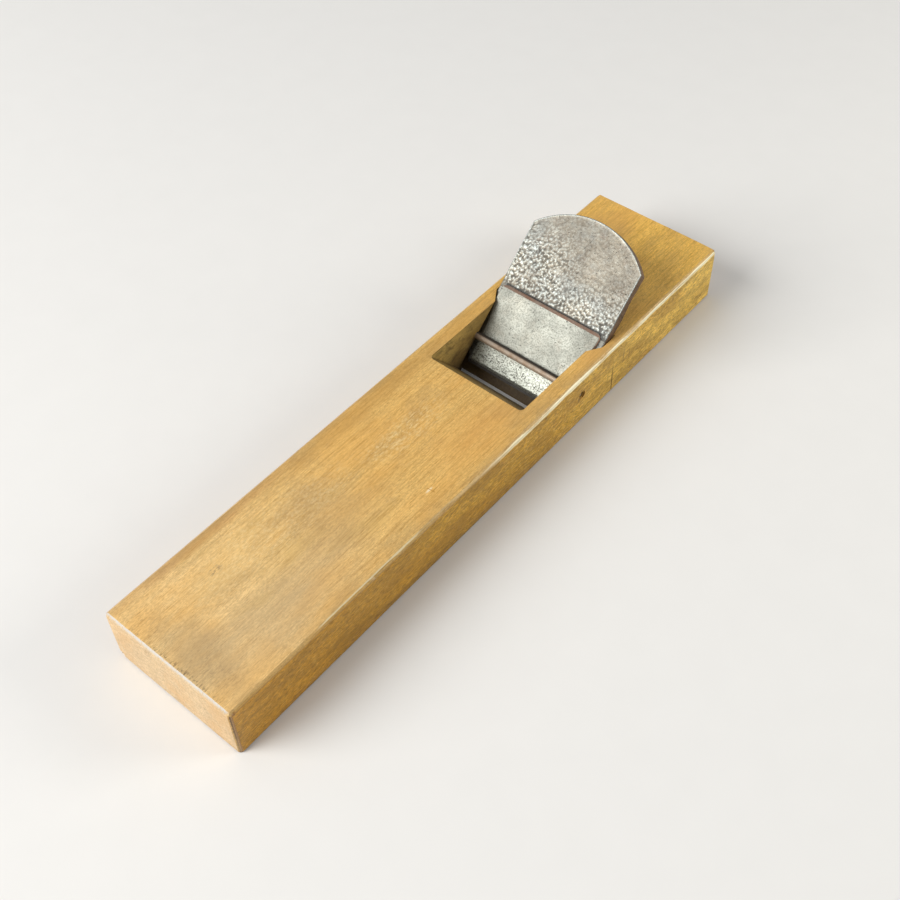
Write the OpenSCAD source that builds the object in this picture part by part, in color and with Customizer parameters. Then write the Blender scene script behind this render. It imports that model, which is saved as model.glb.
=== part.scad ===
// Long wooden hand plane: an oak body, a wedge-shaped laminated blade,
// a chipbreaker and the steel pin that the chipbreaker wedges under.
// Millimetres. The origin is the middle of the body on its sole,
// +Y runs towards the head of the blade and +Z is up.

/* [Body] */
// Length of the oak body
body_length = 372; // [330:1:450]
// Width of the oak body
body_width = 80; // [77:0.5:96]
// Height of the oak body
body_height = 33.8; // [31:0.1:40]
// Chamfer along the two long top edges
top_chamfer = 1.6; // [0.5:0.1:3]
// Chamfer along the top edges of the two ends
end_chamfer = 1.4; // [0.5:0.1:3]
// Chamfer on the four upright corners
corner_chamfer = 1.5; // [0.5:0.1:3]
// Chamfer all round the sole
sole_chamfer = 0.8; // [0.3:0.1:1.5]

/* [Throat] */
// Angle of the bed that carries the blade, from the sole
bed_angle = 38; // [36:0.25:42]
// Distance from the head end of the body to the foot of the bed
bed_setback = 134.2; // [118:0.1:150]
// Depth of the grooves cut into the cheeks for the sides of the blade
groove_depth = 5.25; // [4:0.05:6]
// Length of the mouth along the sole
mouth_length = 8.6; // [7.5:0.1:12]
// Height at which the plumb front wall starts to lean forward
front_wall_break = 9.2; // [5:0.1:14]
// Angle of the leaning part of the front wall, from the sole
front_wall_angle = 49.9; // [46:0.1:58]
// Radius of the two front corners of the throat
throat_corner_radius = 2.5; // [1:0.1:5]

/* [Blade] */
// Width of the blade
blade_width = 69.5; // [66:0.1:71]
// Length of the blade along its flat face
blade_length = 97.7; // [85:0.1:110]
// Wedge angle between the back and the flat face
blade_taper = 3; // [2:0.1:3.5]
// Thickness over the cutting edge, square to the bed
blade_edge_thickness = 4.8; // [4:0.1:5.5]
// Sharpening angle
blade_bevel_angle = 28; // [24:0.5:34]
// Radius of the rounded head
head_radius = 48; // [42:0.5:70]
// Chamfer hammered on the back edge of the head
head_chamfer = 1.6; // [0.5:0.1:3]
// How far the blade is drawn back from its cutting place
blade_drawn_back = 11.1; // [0:0.1:14]
// Width of the ground facets on the two edges of the flat face
facet_width = 4.7; // [3:0.1:6]
// Depth of those facets at the edge
facet_depth = 1; // [0.4:0.1:1.6]
// Height above the cutting edge where the facets run out
facet_end = 62; // [50:1:75]
// Length over which the facets run out
facet_runout = 16; // [8:1:24]
// Width ground off each corner of the cutting edge
corner_trim_width = 5.2; // [4.9:0.1:7]
// Length ground off each corner of the cutting edge
corner_trim_length = 10; // [6:0.5:14]
// Thickness of the hard steel along the flat face
steel_thickness = 2.2; // [1.6:0.1:3]
// Length of the hard steel from the cutting edge
steel_length = 44; // [36:0.5:50]
// Length of the hollow in the flat face
hollow_length = 34; // [20:1:36]
// Depth of the hollow in the flat face
hollow_depth = 0.35; // [0.25:0.05:0.8]
// Flat land between the cutting edge and the hollow
hollow_land = 4; // [2:0.5:6]
// Flat land between each facet and the hollow
hollow_side_land = 3; // [2:0.5:6]

/* [Chipbreaker] */
// Length of the chipbreaker
breaker_length = 44.9; // [40:0.1:52]
// How far the ears of the chipbreaker stay inside each side of the blade
breaker_inset = 2.75; // [2:0.05:3.5]
// How much each side of the chipbreaker draws in from its waist to its lower edge
breaker_edge_inset = 0.6; // [0:0.1:2]
// Height of the waist above the lower edge
breaker_waist_height = 23; // [16:0.5:28]
// Thickness at the lower end
breaker_thickness = 1.65; // [1.2:0.05:2]
// Wedge angle between the front and the blade
breaker_taper = 1.2; // [0.6:0.1:1.6]
// Radius of the two upper corners
breaker_corner_radius = 3; // [1:0.1:5]
// Distance of its edge from the cutting edge
breaker_setback = 1.4; // [0.8:0.1:3]
// Length of the bevel on its lower edge
breaker_bevel_length = 1.5; // [1:0.1:4]
// Thickness left at its lower edge
breaker_edge_thickness = 0.4; // [0.2:0.05:0.8]
// Depth of the relief under it, between its edge and its ears
breaker_relief = 0.35; // [0.2:0.05:0.5]
// Length of the flat land behind its lower edge
breaker_land = 7; // [4:0.5:10]
// Size of the ears, along the top edge and down the side
breaker_ear = 12; // [8:0.5:14]
// How far the tips of the ears are bent back
breaker_ear_bend = 1; // [0.5:0.05:1.1]
// Length of its hard steel from the lower edge
breaker_steel_length = 15; // [8:0.5:20]
// Thickness of its hard steel
breaker_steel_thickness = 0.7; // [0.4:0.05:0.8]

/* [Pin] */
// Diameter of the pin across the throat
pin_diameter = 4; // [3:0.1:5]
// Height of the pin above the sole
pin_height = 20.4; // [17:0.1:23]
// How far each end of the pin lies below the side of the body
pin_recess = 1.4; // [0.5:0.1:3]
// Diameter of the crushed mouth of each pin hole
pin_mouth_diameter = 5; // [4.2:0.1:6]
// Depth of the crushed mouth of each pin hole
pin_mouth_depth = 0.7; // [0.3:0.1:1.2]

/* [Clearances] */
// Gap between the blade and its bed
bed_gap = 0.15; // [0.1:0.05:0.3]
// Gap between each side of the blade and its groove
blade_side_gap = 0.4; // [0.3:0.05:0.8]
// Gap between the blade and the front of its groove when it cuts
blade_front_gap = 0.1; // [0.05:0.05:0.3]
// Gap between the chipbreaker and the blade
breaker_gap = 0.12; // [0.1:0.02:0.3]
// Gap between the waist of the chipbreaker and each cheek
waist_gap = 0.5; // [0.3:0.05:0.8]
// Gap between the ears of the chipbreaker and the cheeks when the blade cuts
ear_gap = 0.3; // [0.2:0.05:0.6]
// Gap between the chipbreaker and the pin when the blade cuts
pin_gap = 0.1; // [0.05:0.05:0.3]

/* [Hidden] */
overrun = 2;
far = 150;
bore_facets = 96;
arc_facets = 240;
hollow_facets = 720;

bed_foot = body_length / 2 - bed_setback;
blade_angle = bed_angle + blade_taper;
breaker_angle = blade_angle + breaker_taper;

// Along the bed, the place of the cutting edge when it cuts and as drawn
edge_cutting = -blade_edge_thickness / tan(bed_angle);
edge_rest = edge_cutting + blade_drawn_back;

// In the blade's frame, what its travel to the cutting place adds
travel_along = blade_drawn_back * cos(blade_taper);
travel_out = blade_drawn_back * sin(blade_taper);

// The back of the blade, measured down from its flat face
back_at_edge = (blade_edge_thickness - bed_gap) / cos(blade_taper);
function back_at(y) = back_at_edge + y * tan(blade_taper);
heel = back_at_edge / (tan(blade_bevel_angle) - tan(blade_taper));

// The cutting edge in its cutting place, in the plane across the body
cutting_y = bed_foot + edge_cutting * cos(bed_angle)
            - blade_edge_thickness * sin(bed_angle);
breaker_front = breaker_gap + breaker_thickness;
front_y = cutting_y + breaker_setback * cos(blade_angle)
          - breaker_front * sin(blade_angle);
front_z = breaker_setback * sin(blade_angle)
          + breaker_front * cos(blade_angle);
pin_y = front_y + (pin_height - front_z) / tan(breaker_angle)
        - (pin_diameter / 2 + pin_gap) / sin(breaker_angle);

// Throat
mouth_front = bed_foot - mouth_length;
throat_front = mouth_front
               - (body_height - front_wall_break) / tan(front_wall_angle);
bed_top = bed_foot + body_height / tan(bed_angle);
groove_half = blade_width / 2 + blade_side_gap;
throat_half = groove_half - groove_depth;
throat_width = 2 * throat_half;

// Widths of the chipbreaker: over its ears, at its waist and at its edge
breaker_width = blade_width - 2 * breaker_inset;
breaker_waist = throat_width - 2 * waist_gap;
breaker_edge_width = breaker_waist - 2 * breaker_edge_inset;

// The bevelled cheek ends run from the edge of the blade, past the ears
breaker_shoulder = breaker_length - breaker_ear / 2;
function breaker_front_at(y) = breaker_thickness + y * tan(breaker_taper);
ear_out = breaker_gap + breaker_front_at(breaker_shoulder)
          - breaker_ear_bend / 2 + travel_out + ear_gap;
groove_outer_out = travel_out + blade_front_gap - facet_depth;
cheek_slope = (ear_out - groove_outer_out) / (groove_half - breaker_width / 2);
lip_half = throat_half - overrun;
groove_lip = groove_outer_out + cheek_slope * (groove_half - lip_half);

module bed_frame() {
    translate([0, bed_foot, 0])
        rotate([bed_angle, 0, 0])
            children();
}

module blade_frame() {
    bed_frame()
        translate([0, edge_rest, blade_edge_thickness])
            rotate([blade_taper, 0, 0])
                children();
}

module breaker_frame() {
    blade_frame()
        translate([0, breaker_setback, breaker_gap])
            children();
}

// Extrudes a side view, drawn as [y, z], evenly across x
module across(width) {
    rotate([90, 0, 90])
        linear_extrude(width, center = true)
            children();
}

// A bar that cuts a 45 degree chamfer off an edge along y
module chamfer_bar(size, length) {
    rotate([0, 45, 0])
        cube([size * sqrt(2), length + 2 * overrun, size * sqrt(2)], center = true);
}

module body_block() {
    half_w = body_width / 2;
    half_l = body_length / 2;
    difference() {
        translate([-half_w, -half_l, 0])
            cube([body_width, body_length, body_height]);
        for (side = [-1, 1]) {
            translate([side * half_w, 0, body_height])
                chamfer_bar(top_chamfer, body_length);
            translate([side * half_w, 0, 0])
                chamfer_bar(sole_chamfer, body_length);
            translate([0, side * half_l, body_height])
                rotate([0, 0, 90])
                    chamfer_bar(end_chamfer, body_width);
            translate([0, side * half_l, 0])
                rotate([0, 0, 90])
                    chamfer_bar(sole_chamfer, body_width);
            for (end = [-1, 1])
                translate([side * half_w, end * half_l, body_height / 2])
                    rotate([90, 0, 0])
                        chamfer_bar(corner_chamfer, body_height);
        }
    }
}

// Side view of the throat: mouth, front wall, then down the bed
module throat_side() {
    below = overrun / tan(bed_angle);
    above = overrun / tan(front_wall_angle);
    polygon([
        [bed_foot - below, -overrun],
        [mouth_front, -overrun],
        [mouth_front, front_wall_break],
        [throat_front - above, body_height + overrun],
        [bed_top + below, body_height + overrun]
    ]);
}

// Plan of the throat, with its two front corners rounded
module throat_plan() {
    start = throat_front - 2 * overrun;
    rounded = throat_front + throat_corner_radius;
    translate([-throat_half, rounded])
        square([throat_width, far]);
    translate([-throat_half + throat_corner_radius, start])
        square([throat_width - 2 * throat_corner_radius, far]);
    for (side = [-1, 1])
        translate([side * (throat_half - throat_corner_radius), rounded])
            circle(throat_corner_radius, $fn = bore_facets);
}

module throat() {
    intersection() {
        across(throat_width + 2 * overrun)
            throat_side();
        translate([0, 0, -2 * overrun])
            linear_extrude(body_height + 4 * overrun)
                throat_plan();
    }
}

// Section of the groove across the blade, with the bevelled cheek ends
module groove_section() {
    polygon([
        [-groove_half, -far],
        [-groove_half, groove_outer_out],
        [-lip_half, groove_lip],
        [lip_half, groove_lip],
        [groove_half, groove_outer_out],
        [groove_half, -far]
    ]);
}

// Plan of the groove, which closes in below as the blade's corners do
module groove_plan() {
    floor_y = -travel_along - blade_side_gap;
    floor_half = groove_half - corner_trim_width;
    polygon([
        [-floor_half, floor_y],
        [floor_half, floor_y],
        [groove_half, floor_y + corner_trim_length],
        [groove_half, far],
        [-groove_half, far],
        [-groove_half, floor_y + corner_trim_length]
    ]);
}

// The groove that holds the two edges of the blade
module blade_groove() {
    intersection() {
        blade_frame()
            translate([0, far, 0])
                rotate([90, 0, 0])
                    linear_extrude(2 * far)
                        groove_section();
        blade_frame()
            translate([0, 0, -far / 2])
                linear_extrude(far)
                    groove_plan();
        bed_frame()
            translate([-far / 2, -far, 0])
                cube([far, 2 * far, far]);
        translate([-far / 2, mouth_front, -overrun])
            cube([far, far, body_height + 2 * overrun]);
    }
}

module pin_bore() {
    translate([0, pin_y, pin_height])
        rotate([0, 90, 0]) {
            cylinder(h = body_width + 2 * overrun, d = pin_diameter,
                     center = true, $fn = bore_facets);
            for (side = [-1, 1])
                translate([0, 0, side * body_width / 2])
                    cylinder(h = 2 * pin_mouth_depth, d = pin_mouth_diameter,
                             center = true, $fn = bore_facets);
        }
}

module oak_body() {
    color([0.80, 0.62, 0.38])
        difference() {
            body_block();
            throat();
            blade_groove();
            pin_bore();
        }
}

module pressure_pin() {
    color([0.52, 0.44, 0.40])
        translate([0, pin_y, pin_height])
            rotate([0, 90, 0])
                cylinder(h = body_width - 2 * pin_recess, d = pin_diameter,
                         center = true, $fn = bore_facets);
}

// Plan of the blade, with the cutting edge on y = 0
module blade_plan() {
    centre = blade_length - head_radius;
    half = blade_width / 2;
    edge_half = half - corner_trim_width;
    polygon([
        [-edge_half, 0],
        [edge_half, 0],
        [half, corner_trim_length],
        [half, centre],
        [-half, centre],
        [-half, corner_trim_length]
    ]);
    intersection() {
        translate([0, centre])
            circle(head_radius, $fn = arc_facets);
        translate([-half, corner_trim_length])
            square([blade_width, blade_length]);
    }
}

// Side view of the blade: bevel, back, chamfered head, flat face
module blade_side() {
    polygon([
        [0, 0],
        [heel, -back_at(heel)],
        [blade_length - head_chamfer, -back_at(blade_length - head_chamfer)],
        [blade_length, -back_at(blade_length) + head_chamfer],
        [blade_length, 0]
    ]);
}

// The space above a plane that falls along x and rises along y
module space_above(fall_x, rise_y) {
    rotate([0, 0, -atan2(rise_y, fall_x)])
        rotate([0, atan(norm([fall_x, rise_y])), 0])
            translate([-far, -far, 0])
                cube([2 * far, 2 * far, far]);
}

// What is ground off one edge of the flat face
module facet_cut() {
    inner = blade_width / 2 - facet_width;
    fall = facet_depth / facet_width;
    intersection() {
        translate([inner, 0, 0])
            space_above(fall, 0);
        translate([inner, facet_end - facet_runout, 0])
            space_above(fall, facet_depth / facet_runout);
    }
}

module flat_face_hollow() {
    radius = (pow(hollow_length / 2, 2) + pow(hollow_depth, 2)) / (2 * hollow_depth);
    width = blade_width - 2 * (facet_width + hollow_side_land);
    translate([0, hollow_land + hollow_length / 2, radius - hollow_depth])
        rotate([0, 90, 0])
            cylinder(h = width, r = radius, center = true, $fn = hollow_facets);
}

module whole_blade() {
    difference() {
        intersection() {
            across(blade_width + 2 * overrun)
                blade_side();
            translate([0, 0, -far / 2])
                linear_extrude(far)
                    blade_plan();
        }
        facet_cut();
        mirror([1, 0, 0])
            facet_cut();
        flat_face_hollow();
    }
}

module blade_steel_zone() {
    translate([-far / 2, -far, -steel_thickness])
        cube([far, far + steel_length, far]);
}

module blade_iron() {
    color([0.62, 0.61, 0.60])
        blade_frame()
            difference() {
                whole_blade();
                blade_steel_zone();
            }
}

module blade_steel() {
    color([0.74, 0.74, 0.75])
        blade_frame()
            intersection() {
                whole_blade();
                blade_steel_zone();
            }
}

// Plan of the chipbreaker, with its lower edge on y = 0
module breaker_plan() {
    round = breaker_corner_radius;
    half = breaker_width / 2;
    difference() {
        polygon([
            [-breaker_edge_width / 2, 0],
            [-breaker_waist / 2, breaker_waist_height],
            [-half, breaker_shoulder],
            [-half, breaker_length],
            [half, breaker_length],
            [half, breaker_shoulder],
            [breaker_waist / 2, breaker_waist_height],
            [breaker_edge_width / 2, 0]
        ]);
        for (side = [0, 1])
            mirror([side, 0])
                translate([half - round, breaker_length - round])
                    difference() {
                        square(round + overrun);
                        circle(round, $fn = bore_facets);
                    }
    }
}

// Side view of the chipbreaker, with its bevelled lower edge
module breaker_side() {
    top = breaker_length + overrun;
    polygon([
        [0, 0],
        [top, 0],
        [top, breaker_front_at(top)],
        [breaker_bevel_length, breaker_front_at(breaker_bevel_length)],
        [0, breaker_edge_thickness]
    ]);
}

// The relief under the chipbreaker, which leaves its land and ears
module breaker_relief_cut() {
    half = breaker_width / 2 + overrun;
    top = breaker_length + overrun;
    ear = breaker_ear + overrun;
    translate([0, 0, -overrun])
        linear_extrude(overrun + breaker_relief)
            polygon([
                [-half, breaker_land],
                [half, breaker_land],
                [half, top - ear],
                [half - ear, top],
                [-half + ear, top],
                [-half, top - ear]
            ]);
}

// What bends back off the front of one ear: a slanted half space
module ear_bend_cut() {
    half = breaker_width / 2;
    fold = breaker_ear / sqrt(2);
    dip = atan(breaker_ear_bend / fold);
    crest = breaker_front_at(breaker_shoulder);
    translate([half - breaker_ear / 2, breaker_shoulder, crest])
        rotate([0, 0, 45])
            rotate([0, dip, 0])
                translate([0, -breaker_ear, 0])
                    cube([2 * breaker_ear, 2 * breaker_ear, breaker_ear]);
}

module whole_breaker() {
    difference() {
        intersection() {
            across(breaker_width + 2 * overrun)
                breaker_side();
            translate([0, 0, -overrun])
                linear_extrude(far)
                    breaker_plan();
        }
        breaker_relief_cut();
        ear_bend_cut();
        mirror([1, 0, 0])
            ear_bend_cut();
    }
}

module breaker_steel_zone() {
    translate([-far / 2, -far, -overrun])
        cube([far, far + breaker_steel_length, overrun + breaker_steel_thickness]);
}

module chipbreaker_iron() {
    color([0.72, 0.72, 0.70])
        breaker_frame()
            difference() {
                whole_breaker();
                breaker_steel_zone();
            }
}

module chipbreaker_steel() {
    color([0.78, 0.78, 0.79])
        breaker_frame()
            intersection() {
                whole_breaker();
                breaker_steel_zone();
            }
}

oak_body();
pressure_pin();
blade_iron();
blade_steel();
chipbreaker_iron();
chipbreaker_steel();
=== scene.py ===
"""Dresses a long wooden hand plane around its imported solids.

A piece is modelled in millimetres and turned into metres when it is laid in its
place. +Y runs towards the head of the blade, +X to the right and +Z up, and the
origin is the middle of the body on its sole.
"""

import logging
import math
from collections.abc import Callable, Sequence
from dataclasses import dataclass, field
from enum import Enum
from functools import reduce
from itertools import product

import bpy
import numpy as np
from mathutils import Matrix, Vector, noise


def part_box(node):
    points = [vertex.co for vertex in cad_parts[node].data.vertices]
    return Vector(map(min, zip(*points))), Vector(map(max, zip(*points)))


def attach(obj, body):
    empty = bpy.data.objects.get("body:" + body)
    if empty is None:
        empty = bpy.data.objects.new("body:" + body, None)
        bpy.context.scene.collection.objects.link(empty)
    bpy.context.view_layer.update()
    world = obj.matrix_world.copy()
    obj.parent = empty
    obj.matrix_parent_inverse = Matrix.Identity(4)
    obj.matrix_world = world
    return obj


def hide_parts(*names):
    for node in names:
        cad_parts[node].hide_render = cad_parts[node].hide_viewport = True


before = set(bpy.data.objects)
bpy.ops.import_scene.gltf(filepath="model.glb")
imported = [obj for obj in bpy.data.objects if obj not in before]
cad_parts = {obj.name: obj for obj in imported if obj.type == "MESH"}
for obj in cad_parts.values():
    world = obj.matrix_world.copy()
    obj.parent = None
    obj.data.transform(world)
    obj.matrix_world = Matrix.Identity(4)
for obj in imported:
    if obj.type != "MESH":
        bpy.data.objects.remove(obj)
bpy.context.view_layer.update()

LOG = logging.getLogger("hand_plane")
METRES = 0.001
# Farther than any piece that is cut reaches, and how far a cutting mesh stands proud
REACH = 150.0
OVERRUN = 2.0
# How close two places are that count as one, and the angles in degrees past which an edge
# is rounded and a shade breaks
NEAR = 0.01
SHARP = 20.0
CREASE = 35.0

Point = tuple[float, float, float]
Colour = tuple[float, float, float]
Socket = bpy.types.NodeSocket | float | tuple


def srgb(red: int, green: int, blue: int) -> Colour:
    """Turns a screen colour into a linear one.

    Args:
        red: Its red, from 0 to 255.
        green: Its green.
        blue: Its blue.

    Returns:
        The linear colour, with each channel from 0 to 1.
    """
    def linear(value: int) -> float:
        """Undoes the screen's curve for one channel."""
        share = value / 255
        return share / 12.92 if share <= 0.04045 else ((share + 0.055) / 1.055) ** 2.4
    return linear(red), linear(green), linear(blue)


def tinted(colour: Colour, by: Colour) -> Colour:
    """Multiplies each channel of a colour by a share of its own."""
    return tuple(part * share for part, share in zip(colour, by))


def slope(angle: float) -> float:
    """Gives how much a slope at an angle in degrees rises over a length of 1."""
    return math.tan(math.radians(angle))


# Sizes and places


@dataclass(frozen=True)
class Layout:
    """Driving sizes of the plane, in millimetres and degrees."""

    body_length: float = 372.0
    body_width: float = 80.0
    body_height: float = 33.8
    top_chamfer: float = 1.6
    end_chamfer: float = 1.4
    corner_chamfer: float = 1.5
    sole_chamfer: float = 0.8
    bed_angle: float = 38.0
    bed_setback: float = 134.2
    groove_depth: float = 5.25
    mouth_length: float = 8.6
    front_wall_break: float = 9.2
    front_wall_angle: float = 49.9
    throat_corner_radius: float = 2.5
    blade_width: float = 69.5
    blade_length: float = 97.7
    blade_taper: float = 3.0
    blade_edge_thickness: float = 4.8
    blade_bevel_angle: float = 28.0
    head_radius: float = 48.0
    head_chamfer: float = 1.6
    blade_drawn_back: float = 11.1
    facet_width: float = 4.7
    facet_depth: float = 1.0
    facet_end: float = 62.0
    facet_runout: float = 16.0
    corner_trim_width: float = 5.2
    corner_trim_length: float = 10.0
    steel_thickness: float = 2.2
    steel_length: float = 44.0
    hollow_length: float = 34.0
    hollow_depth: float = 0.35
    hollow_land: float = 4.0
    hollow_side_land: float = 3.0
    breaker_length: float = 44.9
    breaker_inset: float = 2.75
    breaker_edge_inset: float = 0.6
    breaker_waist_height: float = 23.0
    breaker_thickness: float = 1.65
    breaker_taper: float = 1.2
    breaker_corner_radius: float = 3.0
    breaker_setback: float = 1.4
    breaker_bevel_length: float = 1.5
    breaker_edge_thickness: float = 0.4
    breaker_relief: float = 0.35
    breaker_land: float = 7.0
    breaker_ear: float = 12.0
    breaker_ear_bend: float = 1.0
    breaker_steel_length: float = 15.0
    breaker_steel_thickness: float = 0.7
    pin_diameter: float = 4.0
    pin_mouth_diameter: float = 5.0
    pin_mouth_depth: float = 0.7
    bed_gap: float = 0.15
    blade_side_gap: float = 0.4
    blade_front_gap: float = 0.1
    breaker_gap: float = 0.12
    waist_gap: float = 0.5
    ear_gap: float = 0.3

    @property
    def bed_foot(self) -> float:
        """Where the bed meets the sole, along the body."""
        return self.body_length / 2 - self.bed_setback

    @property
    def bed_top(self) -> float:
        """Where the bed meets the top, along the body."""
        return self.bed_foot + self.body_height / slope(self.bed_angle)

    @property
    def mouth_front(self) -> float:
        """The front edge of the mouth, along the body."""
        return self.bed_foot - self.mouth_length

    @property
    def throat_front(self) -> float:
        """The front edge of the throat in the top, along the body."""
        rise = self.body_height - self.front_wall_break
        return self.mouth_front - rise / slope(self.front_wall_angle)

    @property
    def groove_half(self) -> float:
        """Half the distance between the floors of the two grooves."""
        return self.blade_width / 2 + self.blade_side_gap

    @property
    def throat_half(self) -> float:
        """Half the width of the throat."""
        return self.groove_half - self.groove_depth

    @property
    def edge_rest(self) -> float:
        """The place of the cutting edge along the bed, as drawn back."""
        return self.blade_drawn_back - self.blade_edge_thickness / slope(self.bed_angle)

    @property
    def head_centre(self) -> float:
        """The centre of the blade's rounded head, above its edge."""
        return self.blade_length - self.head_radius

    @property
    def travel_along(self) -> float:
        """How far the blade has yet to go along its own face."""
        return self.blade_drawn_back * math.cos(math.radians(self.blade_taper))

    @property
    def travel_out(self) -> float:
        """How far the blade has yet to go square to its own face."""
        return self.blade_drawn_back * math.sin(math.radians(self.blade_taper))

    @property
    def breaker_half(self) -> float:
        """Half the width of the chipbreaker over its ears."""
        return self.blade_width / 2 - self.breaker_inset

    @property
    def breaker_shoulder(self) -> float:
        """Height above its edge at which the chipbreaker's sides turn upright."""
        return self.breaker_length - self.breaker_ear / 2

    def bed_place(self) -> Matrix:
        """Gives the frame of the bed: its foot, with Z square to it."""
        return (Matrix.Translation((0, self.bed_foot, 0))
                @ Matrix.Rotation(math.radians(self.bed_angle), 4, "X"))

    def blade_place(self) -> Matrix:
        """Gives the frame of the blade: its edge on Y = 0, its flat face on Z = 0."""
        return (self.bed_place()
                @ Matrix.Translation((0, self.edge_rest, self.blade_edge_thickness))
                @ Matrix.Rotation(math.radians(self.blade_taper), 4, "X"))

    def breaker_place(self) -> Matrix:
        """Gives the frame of the chipbreaker, which lies on the blade."""
        lift = Matrix.Translation((0, self.breaker_setback, self.breaker_gap))
        return self.blade_place() @ lift


PLANE = Layout()


# Modelling by hand


class Cut(Enum):
    """What a second mesh does to the first."""

    REMOVE = "DIFFERENCE"
    KEEP = "INTERSECT"


def deselect_all() -> None:
    """Leaves nothing selected."""
    bpy.ops.object.select_all(action="DESELECT")


def take(piece: bpy.types.Object) -> None:
    """Makes one piece the only one selected, and the active one.

    Args:
        piece: The piece to work on.
    """
    deselect_all()
    piece.select_set(True)
    bpy.context.view_layer.objects.active = piece


def all_selected(piece: bpy.types.Object) -> None:
    """Opens a piece in edit mode with everything selected.

    Args:
        piece: The piece to edit.
    """
    take(piece)
    bpy.ops.object.mode_set(mode="EDIT")
    bpy.ops.mesh.select_mode(type="VERT")
    bpy.ops.mesh.select_all(action="SELECT")


def leave_edit() -> None:
    """Closes edit mode."""
    bpy.ops.object.mode_set(mode="OBJECT")


def name_primitive(name: str) -> bpy.types.Object:
    """Names the primitive that was just added.

    Args:
        name: The name of the object and of its mesh.

    Returns:
        The primitive.
    """
    piece = bpy.context.active_object
    piece.name = name
    piece.data.name = name
    return piece


def points_of(piece: bpy.types.Object) -> np.ndarray:
    """Reads the corners of a piece's mesh.

    Args:
        piece: The piece.

    Returns:
        Its corners as rows of x, y, z.
    """
    flat = np.empty(len(piece.data.vertices) * 3)
    piece.data.vertices.foreach_get("co", flat)
    return flat.reshape(-1, 3)


def put_points(piece: bpy.types.Object, points: np.ndarray) -> None:
    """Moves the corners of a piece's mesh to new places."""
    piece.data.vertices.foreach_set("co", points.ravel())
    piece.data.update()


def add_block(name: str, low: Point, high: Point) -> bpy.types.Object:
    """Adds a block between two corners.

    Args:
        name: The name of the block.
        low: Its lowest corner.
        high: Its highest corner.

    Returns:
        The block, with its place in its mesh.
    """
    deselect_all()
    bpy.ops.mesh.primitive_cube_add(size=1)
    block = name_primitive(name)
    low_corner = np.array(low)
    high_corner = np.array(high)
    put_points(block, low_corner + (points_of(block) + 0.5) * (high_corner - low_corner))
    return block


def add_prism(name: str, outline: Sequence[tuple[float, float]], half: float) -> bpy.types.Object:
    """Draws an outline in the plane across the body and extrudes it sideways.

    Args:
        name: The name of the prism.
        outline: Its corners as (y, z), in order.
        half: Half its width along x.

    Returns:
        The closed prism.
    """
    deselect_all()
    bpy.ops.mesh.primitive_circle_add(vertices=len(outline), radius=1, fill_type="NGON")
    prism = name_primitive(name)
    put_points(prism, np.array([(-half, y, z) for y, z in outline]))
    all_selected(prism)
    bpy.ops.mesh.extrude_region_move(TRANSFORM_OT_translate={"value": (2 * half, 0, 0)})
    bpy.ops.mesh.select_all(action="SELECT")
    bpy.ops.mesh.normals_make_consistent(inside=False)
    leave_edit()
    return prism


def add_rod(name: str, centre: Point, radius: float, length: float,
            sides: int = 64) -> bpy.types.Object:
    """Adds a round rod that lies along x.

    Args:
        name: The name of the rod.
        centre: Its middle.
        radius: Its radius.
        length: Its length.
        sides: How many flats it is drawn with.

    Returns:
        The rod, with its place in its mesh.
    """
    deselect_all()
    bpy.ops.mesh.primitive_cylinder_add(vertices=sides, radius=radius, depth=length,
                                        location=centre, rotation=(0, math.pi / 2, 0))
    bpy.ops.object.transform_apply(location=True, rotation=True, scale=True)
    return name_primitive(name)


def slice_off(piece: bpy.types.Object, point: Point, normal: Point) -> None:
    """Cuts off what lies past a plane and closes the cut.

    Args:
        piece: The piece to cut.
        point: A point of the plane.
        normal: The direction of what is cut off.
    """
    all_selected(piece)
    bpy.ops.mesh.bisect(plane_co=point, plane_no=normal, use_fill=True,
                        clear_outer=True, threshold=1e-5)
    leave_edit()


def score(piece: bpy.types.Object, axis: int, places: Sequence[float]) -> None:
    """Scores rings of edges round a piece, square to one axis.

    Args:
        piece: The piece to score.
        axis: 0, 1 or 2 for x, y or z.
        places: Where along that axis.
    """
    all_selected(piece)
    for place in places:
        point = [0.0, 0.0, 0.0]
        normal = [0.0, 0.0, 0.0]
        point[axis] = place
        normal[axis] = 1.0
        bpy.ops.mesh.select_all(action="SELECT")
        bpy.ops.mesh.bisect(plane_co=point, plane_no=normal, threshold=1e-4)
    leave_edit()


def carve(piece: bpy.types.Object, tool: bpy.types.Object, cut: Cut = Cut.REMOVE,
          finish: int | None = None) -> None:
    """Shapes a piece with a second mesh, which is used up.

    Args:
        piece: The piece to shape.
        tool: The mesh that cuts it.
        cut: Whether what they share is removed or kept.
        finish: Which of the piece's finishes the new faces take, if they take one.
    """
    take(piece)
    modifier = piece.modifiers.new("carve", "BOOLEAN")
    modifier.operation = cut.value
    modifier.solver = "EXACT"
    modifier.object = tool
    if finish is not None:
        for material in piece.data.materials:
            tool.data.materials.append(material)
        for polygon in tool.data.polygons:
            polygon.material_index = finish
        modifier.material_mode = "TRANSFER"
    bpy.ops.object.modifier_apply(modifier=modifier.name)
    bpy.data.objects.remove(tool)


def clean_up(piece: bpy.types.Object) -> None:
    """Merges what lies in one place and drops the edges inside flat faces.

    Args:
        piece: The piece to clean up.
    """
    all_selected(piece)
    bpy.ops.mesh.remove_doubles(threshold=1e-3)
    bpy.ops.mesh.dissolve_limited(angle_limit=math.radians(0.05), delimit={"MATERIAL"})
    bpy.ops.mesh.select_all(action="SELECT")
    bpy.ops.mesh.normals_make_consistent(inside=False)
    leave_edit()


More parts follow.
